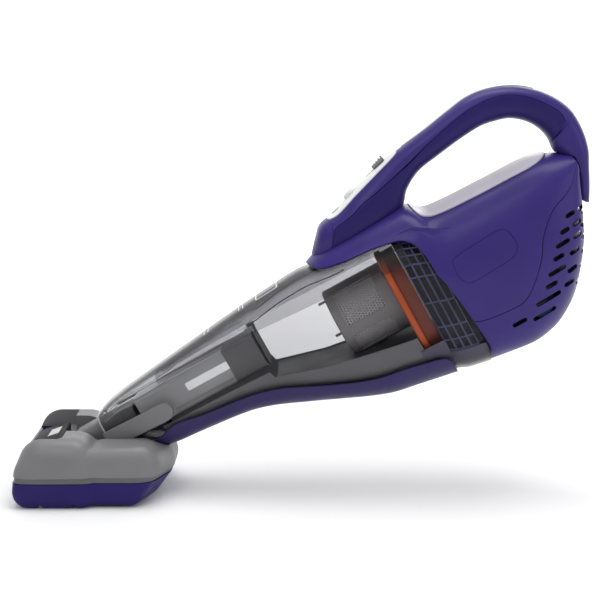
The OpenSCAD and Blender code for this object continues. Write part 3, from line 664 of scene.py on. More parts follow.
def on_handle(t, angle, inset=0.0):
    """A point on the handle at t sections from its front foot."""
    outer = Vector((along(RING_CURVES[0], t), along(RING_CURVES[1], t)))
    inner = Vector((along(RING_CURVES[2], t), along(RING_CURVES[3], t)))
    middle, half = (outer + inner) / 2, (outer - inner) / 2
    a = math.radians(angle)
    p = middle + half * (1 - inset / half.length) * power(math.sin(a), 2 / 2.6)
    return vac(p[0], (along(RING_CURVES[4], t) - inset) * power(math.cos(a), 2 / 2.6), p[1])


def oval(s, half_w, low, top):
    return [vac(s, *round_pt(a, half_w, low, top, 2.25)) for a in steps(0, 360, 96)[:-1]]


# ---- Main body ----

BODY_WALL = 2.6
BODY_END = 443
DOME_RISE = 1.6
SLOT_R = 1.9
SEAM = 0.28  # degrees between neighbouring covers
HANDLE_GAP = 0.9  # degrees from the handle's seam to each shell
SLOTS = [(418, 4, 8), (429, 3, 7), (408, -5, 8), (420, -5, 8), (402, -13, 12), (416, -14, 8),
         (394, -21, 9), (408, -24, 9), (388, -30, 15), (400, -36, 9), (379, -38, 10), (393, -45, 9),
         (372, -47, 22), (364, -57, 20), (343, -53, 12)]
EDGE_SLOTS = [(430.5, -1, 8), (426, -10, 8), (422, -19, 8), (417, -29.5, 8), (411, -40, 8),
              (402.5, -51, 9)]
BADGE = [(322, 19), (346, 21), (364, 21), (369, 14), (369, 4), (362, -2.6), (342, -4), (325, -4.5),
         (318, 2), (318, 14)]


def closing(rows):
    """Draws the last row of a shell together into a shallow domed end."""
    end = rows[-1]
    middle = vac(BODY_END, 0, (along(BODY_TOP, BODY_END) + along(BODY_LOW, BODY_END)) / 2)
    for share in (0.93, 0.8, 0.5, 0.2, 0.01):
        lift = AXIS * DOME_RISE * MM * math.sqrt(1 - share * share)
        rows.append([middle + (p - middle) * share + lift for p in end])
    return rows


def half_shell(side):
    rows = []
    for u in steps(0, 1, 84):
        line = []
        for v in steps(0, 1, 72):
            s = lerp(along(ARCH_EDGE, lerp(-18, 90, v)), BODY_END, u)
            low = max(along(COVER_SEAM, s) + SEAM, -89.4)
            line.append(on_body(s, lerp(low, 89.9, v), side=side))
        rows.append(line)
    return closing(rows)


def surface_angle(s, w):
    """The angle at which the body's section reaches height w."""
    top, low = along(BODY_TOP, s), along(BODY_LOW, s)
    return math.degrees(math.asin(power((2 * w - top - low) / (top - low), 1.25)))


def smooth_loop(points, per):
    """A closed rounded curve through a few points."""
    n = len(points)
    made = []
    for i in range(n):
        p0, p1, p2, p3 = (Vector(points[(i + k) % n]) for k in (-1, 0, 1, 2))
        for k in range(per):
            u = k / per
            made.append(0.5 * (2 * p1 + (p2 - p0) * u + (2 * p0 - 5 * p1 + 4 * p2 - p3) * u * u
                               + (3 * p1 - p0 - 3 * p2 + p3) * u**3))
    return made


def badge_groove(side):
    path = [on_body(s, surface_angle(s, w), side=side) for s, w in smooth_loop(BADGE, 6)]
    return as_object("groove", sweep(path, 0.45, 8, closed=True))


def through_slot(s, w, length):
    """A flat-sided slot right across the body, its long side along the axis."""
    ring = []
    middle = (length + 1) / 2 - SLOT_R
    for side in (1, -1):
        for t in [math.radians(a) for a in steps(-90, 90, 8)]:
            ring.append((s + side * (middle + SLOT_R * math.cos(t)), w + side * SLOT_R * math.sin(t)))
    return loft([[vac(p, y, q) for p, q in ring] for y in (-70, 70)])


def make_halves():
    for hand, side in (("left", -1), ("right", 1)):
        half = sheet("body_" + hand, half_shell(side), BODY_WALL, vac(360, 0, -10), edge=0.25, even=False)
        cut(half, [badge_groove(side)])
        if side > 0:
            cut(half, [screw_wells()])
        place(half, "main_body", "purple_body", ["body_shell_" + hand])


def make_rear_cover():
    rows = []
    for u in steps(0, 1, 64):
        line = []
        for v in steps(-1, 1, 96):
            s = lerp(along(ARCH_EDGE, -90 + 72 * abs(v)), BODY_END, u)
            reach = along(COVER_SEAM, s) + 90 - SEAM
            line.append(on_body(s, -90 + reach * abs(v), side=math.copysign(1, v)))
        rows.append(line)
    cover = sheet("rear_cover", closing(rows), BODY_WALL, vac(350, 0, -10), edge=0.25, even=False)
    slots = merged("slots", [through_slot(*slot) for slot in SLOTS + EDGE_SLOTS])
    cut(cover, [slots, jack_hole()])
    place(cover, "main_body", "purple_body", ["rear_vent_cover"])


def make_vent_lining():
    """Behind the rear cover: a tongue along its seam on each side, and a dark screen behind its slots."""
    for name, side in (("seam_lip_left", -1), ("seam_lip_right", 1)):
        rows = []
        for s in steps(322, BODY_END - 3, 60):
            middle = along(COVER_SEAM, s)
            rows.append([on_body(s, a, BODY_WALL + 0.3, side) for a in steps(middle - 4, middle + 4, 6)])
        place(sheet(name, rows, 1, vac(380, 0, 0)), "main_body", "purple_grip")
    rows = []
    for s in steps(330, 428, 40):
        reach = 84 + straight(COVER_SEAM, s)
        rows.append([on_body(s, -90 + reach * abs(v), 8, math.copysign(1, v)) for v in steps(-1, 1, 60)])
    screen = sheet("vent_screen", rows, 1, vac(370, 0, -10))
    place(screen, "main_body", "dark_grey")


JACK_R, MOUTH_R, BORE_R, BORE_DEEP = 5, 3.2, 2.8, 9
JACK_SUNK = 3.2


def make_jack():
    """The charging socket, set just below the rear cover's surface."""
    low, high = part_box("charge_jack")
    start = Vector((low.x, (low.y + high.y) / 2, (low.z + high.z) / 2))
    run = (high.x - low.x) / MM - JACK_SUNK
    turn = Matrix.Translation(start) @ Matrix.Rotation(math.radians(90), 4, "Y")
    profile = [(0, 0), (JACK_R, 0), (JACK_R, run), (MOUTH_R, run), (BORE_R, run - 0.5),
               (BORE_R, run - BORE_DEEP), (0, run - BORE_DEEP)]
    socket = as_object("charge_socket", turned(profile, turn, 48))
    place(socket, "main_body", "dark_grey", ["charge_jack"])


def jack_hole():
    low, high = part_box("charge_jack")
    middle = (low + high) / 2
    middle.x = high.x
    reach = Vector((20 * MM, 0, 0))
    return as_object("hole", rod(middle - reach, middle + reach, JACK_R + 0.15, 40))


SCREWS = [(300, 64), (330, 36), (326, -18), (392, 36), (420, 32)]
SCREW_HEAD = [(0, -9), (1.5, -9), (1.5, 0), (3, 0), (3, 0.5), (2.3, 1.1), (0, 1.4)]
HEAD_SUNK, WELL_DEEP, WELL_R = 2.2, 1.4, 3.4


def screw_place(s, w):
    """How far out the body's far side is at a screw, in mm."""
    return body_pt(s, surface_angle(s, w))[0]


def screw_wells():
    wells = []
    for s, w in SCREWS:
        y = screw_place(s, w)
        wells.append(rod(vac(s, y - WELL_DEEP, w), vac(s, y + 8, w), WELL_R, 28))
    return merged("wells", wells)


def make_screws():
    """Crossed screw heads in the wells of the far side."""
    heads, crosses = [], []
    for s, w in SCREWS:
        y = screw_place(s, w)
        turn = Matrix.Translation(vac(s, y - HEAD_SUNK, w)) @ Matrix.Rotation(math.radians(-90), 4, "X")
        heads.append(turned(SCREW_HEAD, turn, 28))
        for angle in (0, 90):
            spot = frame_at(s, y - 1, w) @ Matrix.Rotation(math.radians(angle), 4, "Y")
            crosses.append(block((3.4, 1.4, 0.7), spot))
    screws = merged("body_screw_heads", heads)
    cut(screws, [as_object("cross", cross) for cross in crosses])
    place(screws, "main_body", "steel", ["body_screws"])


# ---- Handle ----

HANDLE_WALL = 2.2


def seam_at(t):
    return along(HANDLE_SEAM, t)


def handle_rows(low_of, high_of, end=21.0):
    return [[on_handle(t, a) for a in steps(low_of(t), high_of(t), 56)] for t in steps(0.0, end, 160)]


def body_core():
    """The body's outer form as a solid, grown a little."""
    rows = [[on_body(s, a, -0.35) for a in steps(0, 354, 59)] for s in steps(208, BODY_END + 2.4, 60)]
    return solid("core", rows)


PANEL_FROM, PANEL_TO = 2.45, 7.35


def panel_reach(t):
    """How far the white panel reaches down each side, as an angle from the top."""
    u = (t - PANEL_FROM) / (PANEL_TO - PANEL_FROM)
    rounding = (1 - abs(2 * u - 1) ** 7) ** (1 / 3.0)
    return max(0.5, 34 * rounding)


def make_handle():
    rows = handle_rows(lambda t: seam_at(t) + HANDLE_GAP, lambda t: 180 - seam_at(t) - HANDLE_GAP)
    top = sheet("handle_top", rows, HANDLE_WALL, edge=0.3)
    collar = [on_handle(2.4 + 0.25 * math.sin(math.radians(a)), a) for a in steps(8, 172, 60)]
    foot = [on_handle(0.45, a) for a in steps(-40, 220, 60)]
    cut(top, [body_core()] + [as_object("groove", sweep(path, 0.55, 8)) for path in (collar, foot)])
    place(top, "main_body", "purple_body", ["handle_top_cover"])
    rows = handle_rows(lambda t: -180 - seam_at(t) + HANDLE_GAP, lambda t: seam_at(t) - HANDLE_GAP, 16.9)
    under = sheet("handle_under", rows, HANDLE_WALL, edge=0.3)
    cut(under, [body_core()])
    place(under, "main_body", "purple_grip", ["handle_grip"])


def make_handle_inserts():
    """The white switch panel and the pale strip behind it."""
    rows = [[on_handle(t, 90 + panel_reach(t) * v, -0.9) for v in steps(-1, 1, 36)]
            for t in steps(PANEL_FROM, PANEL_TO, 90)]
    panel = sheet("switch_panel_cover", rows, 2.2, edge=0.5)
    cut(panel, [button_well(), slide_well()])
    place(panel, "main_body", "white_plastic", ["switch_panel"])
    rows = []
    for t in steps(7.7, 14, 60):
        reach = 1 - abs((t - 10.85) / 3.2) ** 6
        rows.append([on_handle(t, 90 + 10 * v * reach, -0.7) for v in steps(-1, 1, 8)])
    strip = sheet("handle_top_strip", rows, 1.0, edge=0.25)
    place(strip, "main_body", "pale_grey", ["handle_top_insert"])


# Place and slope of the thumb slide and of the release button.
SWITCH = (302, 0, 106.8, 14)
BUTTON = (274, 0, 97.6, 18)
BUTTON_WELL_R = 7.1
CAP = [(0, -6), (6.7, -6), (6.7, 2.2), (6.3, 3.1), (5.4, 3.8), (3.6, 4.4), (1.8, 4.75), (0, 4.85)]
RIDGES = [(0.5, 0.8), (3.2, 1.2), (5.9, 1.7), (8.6, 2.2)]  # place along the thumb pad, height
COIL_R, COIL_WIRE, COIL_FOOT, COIL_LONG, COIL_TURNS = 3.9, 0.45, -14.5, 7.7, 6


def button_well():
    turn = frame_at(*BUTTON)
    return as_object("well", turned([(0, -8), (BUTTON_WELL_R, -8), (BUTTON_WELL_R, 12), (0, 12)], turn, 48))


def slide_well():
    turn = frame_at(*SWITCH) @ Matrix.Translation(row(-4.2, 0, 0))
    return as_object("well", block((14.6, 6, 14), turn, 1.2, 3))


def make_slide():
    turn = frame_at(*SWITCH)
    pad = [block((12, 13, 2.2), turn @ Matrix.Translation(row(3.5, 0, 2.3)), 0.8, 3)]
    for x, high in RIDGES:
        pad.append(block((1.4, 11, high), turn @ Matrix.Translation(row(x, 0, 3 + high / 2)), 0.5, 2))
    pad.append(block((5, 5, 10), turn @ Matrix.Translation(row(0, 0, -3)), 0.4))
    place(merged("power_slide_cap", pad), "power_slide", "mid_grey", ["power_switch"])


def make_button():
    """The release button, and the coil spring under it."""
    turn = frame_at(*BUTTON)
    button = as_object("release_button_cap", turned(CAP, turn, 64))
    place(button, "release_button", "white_plastic", ["release_button"])
    whole = 2 * math.pi * COIL_TURNS
    coil = [turn @ row(COIL_R * math.cos(a), COIL_R * math.sin(a), COIL_FOOT + COIL_LONG * a / whole)
            for a in steps(0, whole, 180)]
    spring = as_object("button_coil", sweep(coil, COIL_WIRE, 8))
    place(spring, "main_body", "steel", ["button_spring"])
    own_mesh(spring)


def make_lens():
    lens = block((8, 3, 1.6), frame_at(256.5, 0, 92.2, 14), 0.5, 3)
    place(as_object("status_lens", lens), "main_body", "dark_grey", ["indicator_lens"])


def make_liner():
    rows = []
    for s in steps(311, 427, 90):
        edge = along(LINER_EDGE, s)
        rows.append([on_body(s, a, -1.5) for a in steps(edge, 180 - edge, 40)])
    liner = sheet("grip_gap_liner", rows, 1.4, vac(370, 0, 0), edge=0.5)
    place(liner, "main_body", "pale_grey", ["saddle_insert"])


# ---- Dust bowl ----

BOWL_WALL = 2.2
TRAY_INSET, MOUTH_INSET, ROOF_INSET = 3.2, 2.25, 2.9
# Heights inside the bowl as (s, w): the tray's edge and the foot of the roof.
TRAY_TOP = [(46, 6.5), (147, 6.5), (148.5, 0.5), (191, -12), (214, -16), (262, -24)]
EAVES = [(60, 40), (140, 41), (152, 41), (213, 38.5), (265, 37)]
# Beads along the wall as (s, angle), and where each starts and ends; the streaks are pale beads that paint
# highlights.
RIDGE = ([(148, 44), (158, 44), (178, 50), (202, 52), (250, 56)], 152, 240)
HIGHLIGHT_STREAKS = [([(4, 30), (70, 32)], 4, 70), ([(4, 22), (62, 22)], 5, 58), ([(20, 52), (140, 36)], 20, 140)]


def belly_row(s, reach, inset, across=40, down=0.0):
    """Points round the bowl's underside, up to the angle reach from it on each side."""
    return [on_bowl(s, a, inset, down=down) for a in steps(-90 - reach, -90 + reach, across)]


def beads(run, inset, count, radius, sides):
    """The same thin bead on both sides of the bowl."""
    angles, s0, s1 = run
    return [sweep([on_bowl(s, straight(angles, s), inset, side) for s in steps(s0, s1, count)], radius, sides)
            for side in (-1, 1)]


def make_clear_wall():
    rows = []
    for u in steps(0, 1, 110):
        line = []
        for a in steps(-90, 270, 120)[:-1]:
            edge = along(BOWL_EDGE, 180 - a if a > 90 else a)
            line.append(on_bowl(lerp(0, edge, u), a))
        rows.append(line)
    bowl = sheet("dust_bowl_clear", rows, BOWL_WALL, vac(200, 0, 0), wraps=True, edge=0.6)
    place(bowl, "bowl_assembly", "clear_smoke", ["dust_bowl"], 60)


def make_keel():
    rows = [belly_row(s, 90 + along(KEEL_EDGE, s), -1.8, 48, 1.2) for s in steps(24, 281, 130)]
    keel = sheet("keel_band", rows, 1.4, vac(150, 0, 10), edge=0.5)
    place(keel, "bowl_assembly", "purple_keel", ["keel_cover"])


def make_tray():
    """The smoky inner tray and, behind the duct, a dark sheet just below its edges that paints the shade
    inside it.
    """
    rows, tray_shade = [], []
    for s in steps(46, 265.6, 150):
        reach = 90 + bowl_angle(s, straight(TRAY_TOP, s), TRAY_INSET)
        rows.append(belly_row(s, reach, TRAY_INSET))
        # Past the duct, a dark sheet just below the tray's edges: painted shade for the tray's inside.
        if s > 149:
            y, w = bowl_pt(s, reach - 90, TRAY_INSET)
            tray_shade.append([vac(s, y * v, w - 1.6 + 0.8 * v * v) for v in steps(-0.985, 0.985, 12)])
    tray = sheet("dust_tray", rows, 0.8, vac(200, 0, 10), edge=0.2)
    place(tray, "bowl_assembly", "tray_smoke")
    tray_shade = sheet("tray_painted_shade", tray_shade, 0.8, vac(200, 0, -60))
    place(tray_shade, "bowl_assembly", "collar_dark")


def make_bowl_mouth():
    """A pale sill and a smoky crown just inside the bowl's open end."""
    rows = [belly_row(s, 90 + bowl_angle(s, -36, MOUTH_INSET), MOUTH_INSET) for s in steps(262.4, 283.6, 8)]
    sill = sheet("bowl_sill", rows, 0.6, vac(273, 0, 10))
    place(sill, "bowl_assembly", "nose_purple")
    rows = [[on_bowl(s, a, MOUTH_INSET) for a in steps(24, 156, 50)] for s in steps(265.4, 290, 8)]
    crown = sheet("bowl_crown", rows, 0.6, vac(273, 0, 10))
    place(crown, "bowl_assembly", "roof_smoke")


def make_roofs():
    for name, side in (("bowl_roof_left", -1), ("bowl_roof_right", 1)):
        rows = []
        for s in steps(60, 265, 70):
            low = bowl_angle(s, straight(EAVES, s), ROOF_INSET)
            rows.append([on_bowl(s, a, ROOF_INSET, side) for a in steps(low, 89, 24)])
        roof = sheet(name, rows, 0.5, vac(150, 0, 10))
        place(roof, "bowl_assembly", "roof_smoke")


def make_beads():
    place(merged("bowl_ridges", beads(RIDGE, 2.6, 30, 0.5, 8)), "bowl_assembly", "duct_dark")
    # Pale beads just inside the bowl wall paint highlight streaks, and a bead round the front rim paints its
    # highlight.
    streaks = []
    for run in HIGHLIGHT_STREAKS:
        streaks += beads(run, BOWL_WALL + 0.1, 20, 0.3, 6)
    rim = [on_bowl(0.7, a, 0.5) for a in steps(-60, 240, 80)]
    streaks.append(sweep(rim, 0.75, 8))
    place(merged("bowl_rim_highlights", streaks), "bowl_assembly", "highlight_clear")


def make_intake():
    """The body's nose inside the bowl: a dark plate and collar, a plain band below and the inlet's bars."""
    plate = solid("nose_plate", [oval(s, 43.5, -64.5, 49) for s in (284.6, 285.6)])
    place(plate, "main_body", "collar_dark")
    rows = [[on_bowl(s, a, 6.4) for a in steps(-90, 270, 96)[:-1]] for s in steps(284, 312, 8)]
    collar = sheet("nose_backing", rows, 1, vac(298, 0, 0), wraps=True)
    place(collar, "main_body", "collar_dark")
    rows = [[on_bowl(s, a, 4.2) for a in steps(-141, -39, 40)] for s in steps(283, 312, 8)]
    place(sheet("nose_band", rows, 1.2, vac(298, 0, 0), edge=0.3), "main_body", "nose_purple")
    rows = [[on_bowl(s, a, 5.0) for a in steps(-38, 218, 20)] for s in steps(283, 307, 4)]
    place(bars("intake_lattice", rows, 1.6), "main_body", "lattice_blue", ["inlet_grille"])
    rows = [[vac(283.4, *round_pt(a, r, -r * 1.1, r * 0.9, 2.3)) for a in steps(0, 360, 24)]
            for r in (8, 16, 24, 32, 40)]
    place(bars("intake_grid", rows, 1.5), "main_body", "lattice_blue")


def make_marks():
    """Plain printed ticks and an empty frame on the bowl's top, in place of its markings."""
    def tick(s0, s1, a0, a1):
        bm = bmesh.new()
        surface(bm, [[on_bowl(s, a, -0.12) for a in steps(a0, a1, 8)] for s in steps(s0, s1, 3)])
        return bm

    ticks = [tick(s, s + 0.7, 76, 104) for s in (112, 116, 147, 151)]
    ticks += [tick(s, s + 0.9, 74, 106) for s in (164, 184)]
    ticks += [tick(164, 184.9, a, a + 1) for a in (74, 105)]
    marks = merged("bowl_marks", ticks)
    thicken(marks, 0.1)
    place(marks, "bowl_assembly", "print_white")


# ---- Intake duct ----

DUCT_START, DUCT_END, COLLAR_START = 34, 147, 118
DUCT_LOW, DUCT_TOP, DUCT_HALF = 8, 39, 18
DUCT_WALL, COLLAR_WALL = 1.6, 1.2
HINGE_W, HINGE_HALF, HINGE_R = 41.7, 8.8, 2.2
# The duct's windows: size, and place of the middle.
WINDOWS = [((40, 14, 7.2), (98, -17, 25.1)), ((40, 14, 7.2), (98, 17, 25.1)),
           ((48, 20, 15), (96, 22, 20)), ((48, 20, 15), (96, -42, 20))]


def duct_box(name, s0, s1, half, low, top, radius):
    """A square bar along s with rounded long edges."""
    outline = []
    for cy, cw, a0 in ((1, 1, 0), (-1, 1, 90), (-1, -1, 180), (1, -1, 270)):
        for t in [math.radians(a) for a in steps(a0, a0 + 90, 5)]:
            outline.append((cy * (half - radius) + radius * math.cos(t),
                            (top - radius if cw > 0 else low + radius) + radius * math.sin(t)))
    return solid(name, [[vac(s, y, w) for y, w in outline] for s in (s0, s1)])


def make_duct():
    duct = duct_box("duct_box", DUCT_START, DUCT_END, DUCT_HALF - 1, DUCT_LOW, DUCT_TOP - 2, 3)
    room = duct_box("room", DUCT_START - 4, DUCT_END + 4, DUCT_HALF - 1 - DUCT_WALL, DUCT_LOW + DUCT_WALL,
                    DUCT_TOP - 2 - DUCT_WALL, 2)
    cut(duct, [room])
    cut(duct, [as_object("window", block(size, frame_at(*middle), 0.8)) for size, middle in WINDOWS])
    rails = [block((104, 1.6, 2.4), frame_at(66, y, 36.3, 1), 0.4) for y in (-15.5, 15.5)]
    rails += [block((7, 3, 5.4), frame_at(DUCT_END - 0.4, y, 41), 0.6) for y in (-11.5, 11.5)]
    cut(duct, [as_object("rail", rail) for rail in rails], "UNION")
    low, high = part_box("flap_pin")
    middle = (low + high) / 2
    ends = [Vector((middle.x, y, middle.z)) for y in (low.y, high.y)]
    cut(duct, [as_object("hole", rod(*ends, 1.25))])
    place(duct, "bowl_assembly", "duct_grey", ["intake_duct"])


def make_duct_outlet():
    """The darker collar round the duct's rear end, two pale strips of painted highlight on the duct's sides,
    and the flap.
    """
    low, top = DUCT_LOW - 0.5, DUCT_TOP - 0.5
    collar = duct_box("duct_outlet", COLLAR_START, DUCT_END, DUCT_HALF, low, top, 3)
    cut(collar, [duct_box("room", COLLAR_START - 8, DUCT_END + 4, DUCT_HALF - COLLAR_WALL,
                          low + COLLAR_WALL, top - 1.3, 2.5)])
    round_edges(collar, 0.4, 40)
    place(collar, "bowl_assembly", "duct_dark")
    # Two pale bars on the duct's sides paint highlight strips.
    strips = [block((56, 0.8, 1.8), frame_at(90, side * 17.4, 13.2), 0.3) for side in (-1, 1)]
    place(merged("duct_highlight_strips", strips), "bowl_assembly", "highlight_clear")
    flap = duct_box("flap_plate", DUCT_END + 0.5, DUCT_END + 1.9, DUCT_HALF - 1,
                    DUCT_LOW + 1, DUCT_TOP + 0.6, 2.5)
    ends = [vac(DUCT_END + 1, y, HINGE_W) for y in (-HINGE_HALF, HINGE_HALF)]
    cut(flap, [as_object("hinge", rod(*ends, HINGE_R, 24))], "UNION")
    place(flap, "inlet_flap", "rubber", ["inlet_flap"])


# ---- Filter ----

STRAINER_W, STRAINER_R = 8, 30
HOLE = 0.36  # radius of the mesh's holes as a share of their pitch


def around_strainer(s, radius, angle):
    return vac(s, radius * math.cos(angle), STRAINER_W + radius * math.sin(angle))


def make_filter_ring():
    section = [(266.2, 0.9), (266.0, 2.2), (266.0, 5.8), (271.6, 5.8), (271.6, 1.6), (271.2, 0.4), (267.0, 0)]
    lines = [oval(s, 46.6 - inset, -53 + inset, 46 - inset) for s, inset in section]
    ring = as_object("filter_ring", closed_up(lines + [lines[0]]))
    round_edges(ring, 0.35, 40)
    place(ring, "filter_assembly", "orange_rim", ["filter_rim"])
    rows = [oval(s, 44.4, -51, 43.8) for s in steps(271.8, 282.3, 3)]
    tail = sheet("filter_ring_tail", rows, 1.6, vac(276, 0, -3), wraps=True, edge=0.3)
    place(tail, "filter_assembly", "orange_dark")


def make_cage():
    """The strainer: a cup with four windows, a flange round its mouth and two pins on its front."""
    turn = along_axis(213, STRAINER_W)
    r, deep, wall = STRAINER_R, 54, 2
    profile = [(0, 0), (r - 1, 0), (r, 1), (r, deep), (r - wall, deep), (r - wall, wall), (0, wall)]
    cage = as_object("filter_cage", turned(profile, turn, 96))
    for angle, wide in ((31, 31), (-38, 20), (149, 31), (218, 20)):
        arc = [(r, math.radians(angle + wide * v)) for r, way in ((26, 1), (33, -1))
               for v in steps(-way, way, 12)]
        cut(cage, [solid("window", [[around_strainer(s, r, a) for r, a in arc] for s in (221, 256)])])
    flange = solid("flange", [oval(s, 44.6, -51, 44) for s in (268, 269.6)])
    cut(flange, [as_object("mouth", rod(vac(260, 0, STRAINER_W), vac(275, 0, STRAINER_W), 24, 96))])
    pins = [as_object("pin", rod(vac(206, 0, w), vac(214, 0, w), 1.2, 16)) for w in (0, 30)]
    cut(cage, [flange] + pins, "UNION")
    place(cage, "filter_assembly", "cage_grey", ["filter_strainer"])


def make_filter_fill():
    """The fine mesh behind the strainer's windows and the pleated element inside it."""
    mesh = perforated("filter_screen", 29.2, 219, 258, 2.3)
    place(mesh, "filter_assembly", "mesh_grey", ["filter_mesh"])
    star = [(25.6 if k % 2 else 19, 2 * math.pi * k / 80) for k in range(80)]
    pleats = solid("filter_pleats", [[around_strainer(s, r, a) for r, a in star] for s in (219, 264)])
    place(pleats, "filter_assembly", "filter_paper", ["pleated_filter"], 20)


def perforated(name, radius, s0, s1, pitch):
    """A thin sheet round the strainer's axis with staggered round holes."""
    around = int(2 * math.pi * radius / pitch)
    square = [(-1, -1), (0, -1), (1, -1), (1, 0), (1, 1), (0, 1), (-1, 1), (-1, 0)]
    circle = [math.pi / 4 * (k - 1) for k in range(8)]

    def point(i, j):
        return around_strainer(s0 + i * pitch, radius, 2 * math.pi * j / around)

    bm = bmesh.new()
    for i in range(int((s1 - s0) / pitch)):
        shift = 0.5 * (i % 2)
        for j in range(around):
            outer = [bm.verts.new(point(i + 0.5 + 0.5 * p, j + shift + 0.5 + 0.5 * q)) for p, q in square]
            inner = [bm.verts.new(point(i + 0.5 + HOLE * math.sin(t), j + shift + 0.5 - HOLE * math.cos(t)))
                     for t in circle]
            for k in range(8):
                n = (k + 1) % 8
                bm.faces.new((outer[k], outer[n], inner[n], inner[k]))
    bmesh.ops.remove_doubles(bm, verts=bm.verts, dist=10 * WELD)
    return as_object(name, bm)


# ---- Pet head ----

# Each row: x, y, z, radius seen from the side and radius across, mirrored to both sides.
FRONT_BALLS = [(-39.3, 58.1, 13, 13, 5), (2.5, 58.1, 13, 13, 5), (-34.8, 52, 25, 17.3, 11),
               (-28.5, 44, 35.5, 19.5, 17), (-4, 44, 35.5, 19.5, 17)]
REAR_BALLS = [(8, 54.4, 11.4, 10.4, 5.5), (42, 54.4, 11.4, 10.4, 5.5), (50, 46, 32.5, 17, 13),
              (14, 50.6, 33, 14, 8), (46, 50, 34.5, 14, 9), (20, 32, 33, 15.5, 14),
              (58, 14, 28, 17.5, 14), (50, 28, 16.5, 15.5, 14)]
HEAD_SEAM = [(-120, 21), (56, 21), (70, 19), (78, 17.5), (130, 17.5)]


def ball_hull(balls, inset):
    bm = bmesh.new()
    for x, y, z, r, across in balls:
        size = Matrix.Diagonal((r - inset, across - inset, r - inset, 1))
        for side in (-1, 1):
            spot = Matrix.Translation(row(x, side * y, z)) @ size
            bmesh.ops.create_icosphere(bm, subdivisions=4, radius=MM, matrix=spot)
    return hull("hull", bm)


def head_form(inset):
    """The head's outer form, sunk in by inset."""
    form = ball_hull(FRONT_BALLS, inset)
    cut(form, [ball_hull(REAR_BALLS, inset)], "UNION")
    step = form.modifiers.new("remesh", "REMESH")
    step.mode = "VOXEL"
    step.voxel_size = 1.3 * MM
    step = form.modifiers.new("smooth", "SMOOTH")
    step.iterations = 2
    step.factor = 0.5
    bake_modifiers(form)
    return form


def nozzle_room(grow):
    """The trough in the head's top that the spout and the bowl's nozzle lie in."""
    rows = []
    for s in (-27 - grow, -22, -10, 0, 10, 20, 30, 42, 60, 90, 120):
        line = []
        for a in steps(0, 354, 59):
            y, w = bowl_pt(max(0, s), a, -grow)
            if s < 4:
                w = max(w, lerp(18, 8, max(0, s) / 4) - grow)
            line.append(vac(s, y, w + (40 if 0 < a < 180 else 0)))
        rows.append(line)
    return solid("room", rows)


def brush_bay(inset):
    """The recess in the head's top that the brush cover sits in."""
    bm = bmesh.new()
    for x, z in ((-52 - inset, 38), (-18 + inset, 41)):
        for y in (-42 - inset, 42 + inset):
            for level in (z, z + 22):
                spot = Matrix.Translation(row(x, y, level))
                bmesh.ops.create_circle(bm, segments=32, radius=5 * MM, matrix=spot)
    return hull("bay", bm)


def big_box(low, high):
    low, high = Vector(low), Vector(high)
    return as_object("box", block(high - low, Matrix.Translation((low + high) / 2 * MM)))


def seam_side(lift, level):
    """Everything between the head's seam, raised by lift, and a level far above or below."""
    outline = [(x, z + lift) for x, z in HEAD_SEAM] + [(130, level), (-120, level)]
    return solid("side", [[row(x, y, z) for x, z in outline] for y in (-100, 100)])


def twin(obj):
    made = obj.copy()
    made.data = obj.data.copy()
    bpy.context.collection.objects.link(made)
    return made


def spout(grow, s0, s1):
    return solid("spout", [[vac(s, *round_pt(a, 16.4, 8.6, 35, 3.2, -grow)) for a in steps(0, 354, 59)]
                           for s in (s0, s1)])


HEAD_WALL = 2.2
ROOM = 4.4  # between the bowl's nozzle and the head
SADDLE_OUT = 3.6  # from the bowl's surface to the saddle's
WING_END = [(-90, 17), (-50, 18), (-20, 18.5), (3, 18)]  # angle, s
FINGER_W, FINGER_END, TIP_START = 18, 61.8, 54.2


def make_saddle():
    """The cradle under the bowl's nozzle and the long round-ended finger that runs back along each side."""
    rows = []
    for u in steps(0, 1, 24):
        line = []
        for v in steps(-1, 1, 72):
            b = lerp(-90, bowl_angle(lerp(0, 18, u), 25.5, -SADDLE_OUT), abs(v))
            s = lerp(-1, along(WING_END, b), u)
            y, w = bowl_pt(max(0, s), b, -SADDLE_OUT)
            line.append(vac(s, math.copysign(y, v), w))
        rows.append(line)
    cradle = sheet("saddle_cradle", rows, 2.7, vac(25, 0, 24), edge=0.9)
    fingers = []
    for side in (-1, 1):
        rows = []
        for s in steps(0, FINGER_END, 60):
            swing = math.sqrt(max(0, 1 - max(0, (s - TIP_START) / 7.7) ** 2))
            top, low = FINGER_W + 7.6 * swing, FINGER_W - 7.3 * swing
            heights = steps(low, max(top, low + 0.2), 14)
            inset = -SADDLE_OUT - 0.1
            rows.append([vac(s, side * bowl_pt(s, bowl_angle(s, w, inset), inset)[0], w) for w in heights])
        fingers.append(sheet("finger", rows, 2.6, vac(30, 0, FINGER_W), edge=0.9))
    cut(cradle, fingers, "UNION")
    place(cradle, "pet_head", "mid_grey", ["nozzle_saddle"])


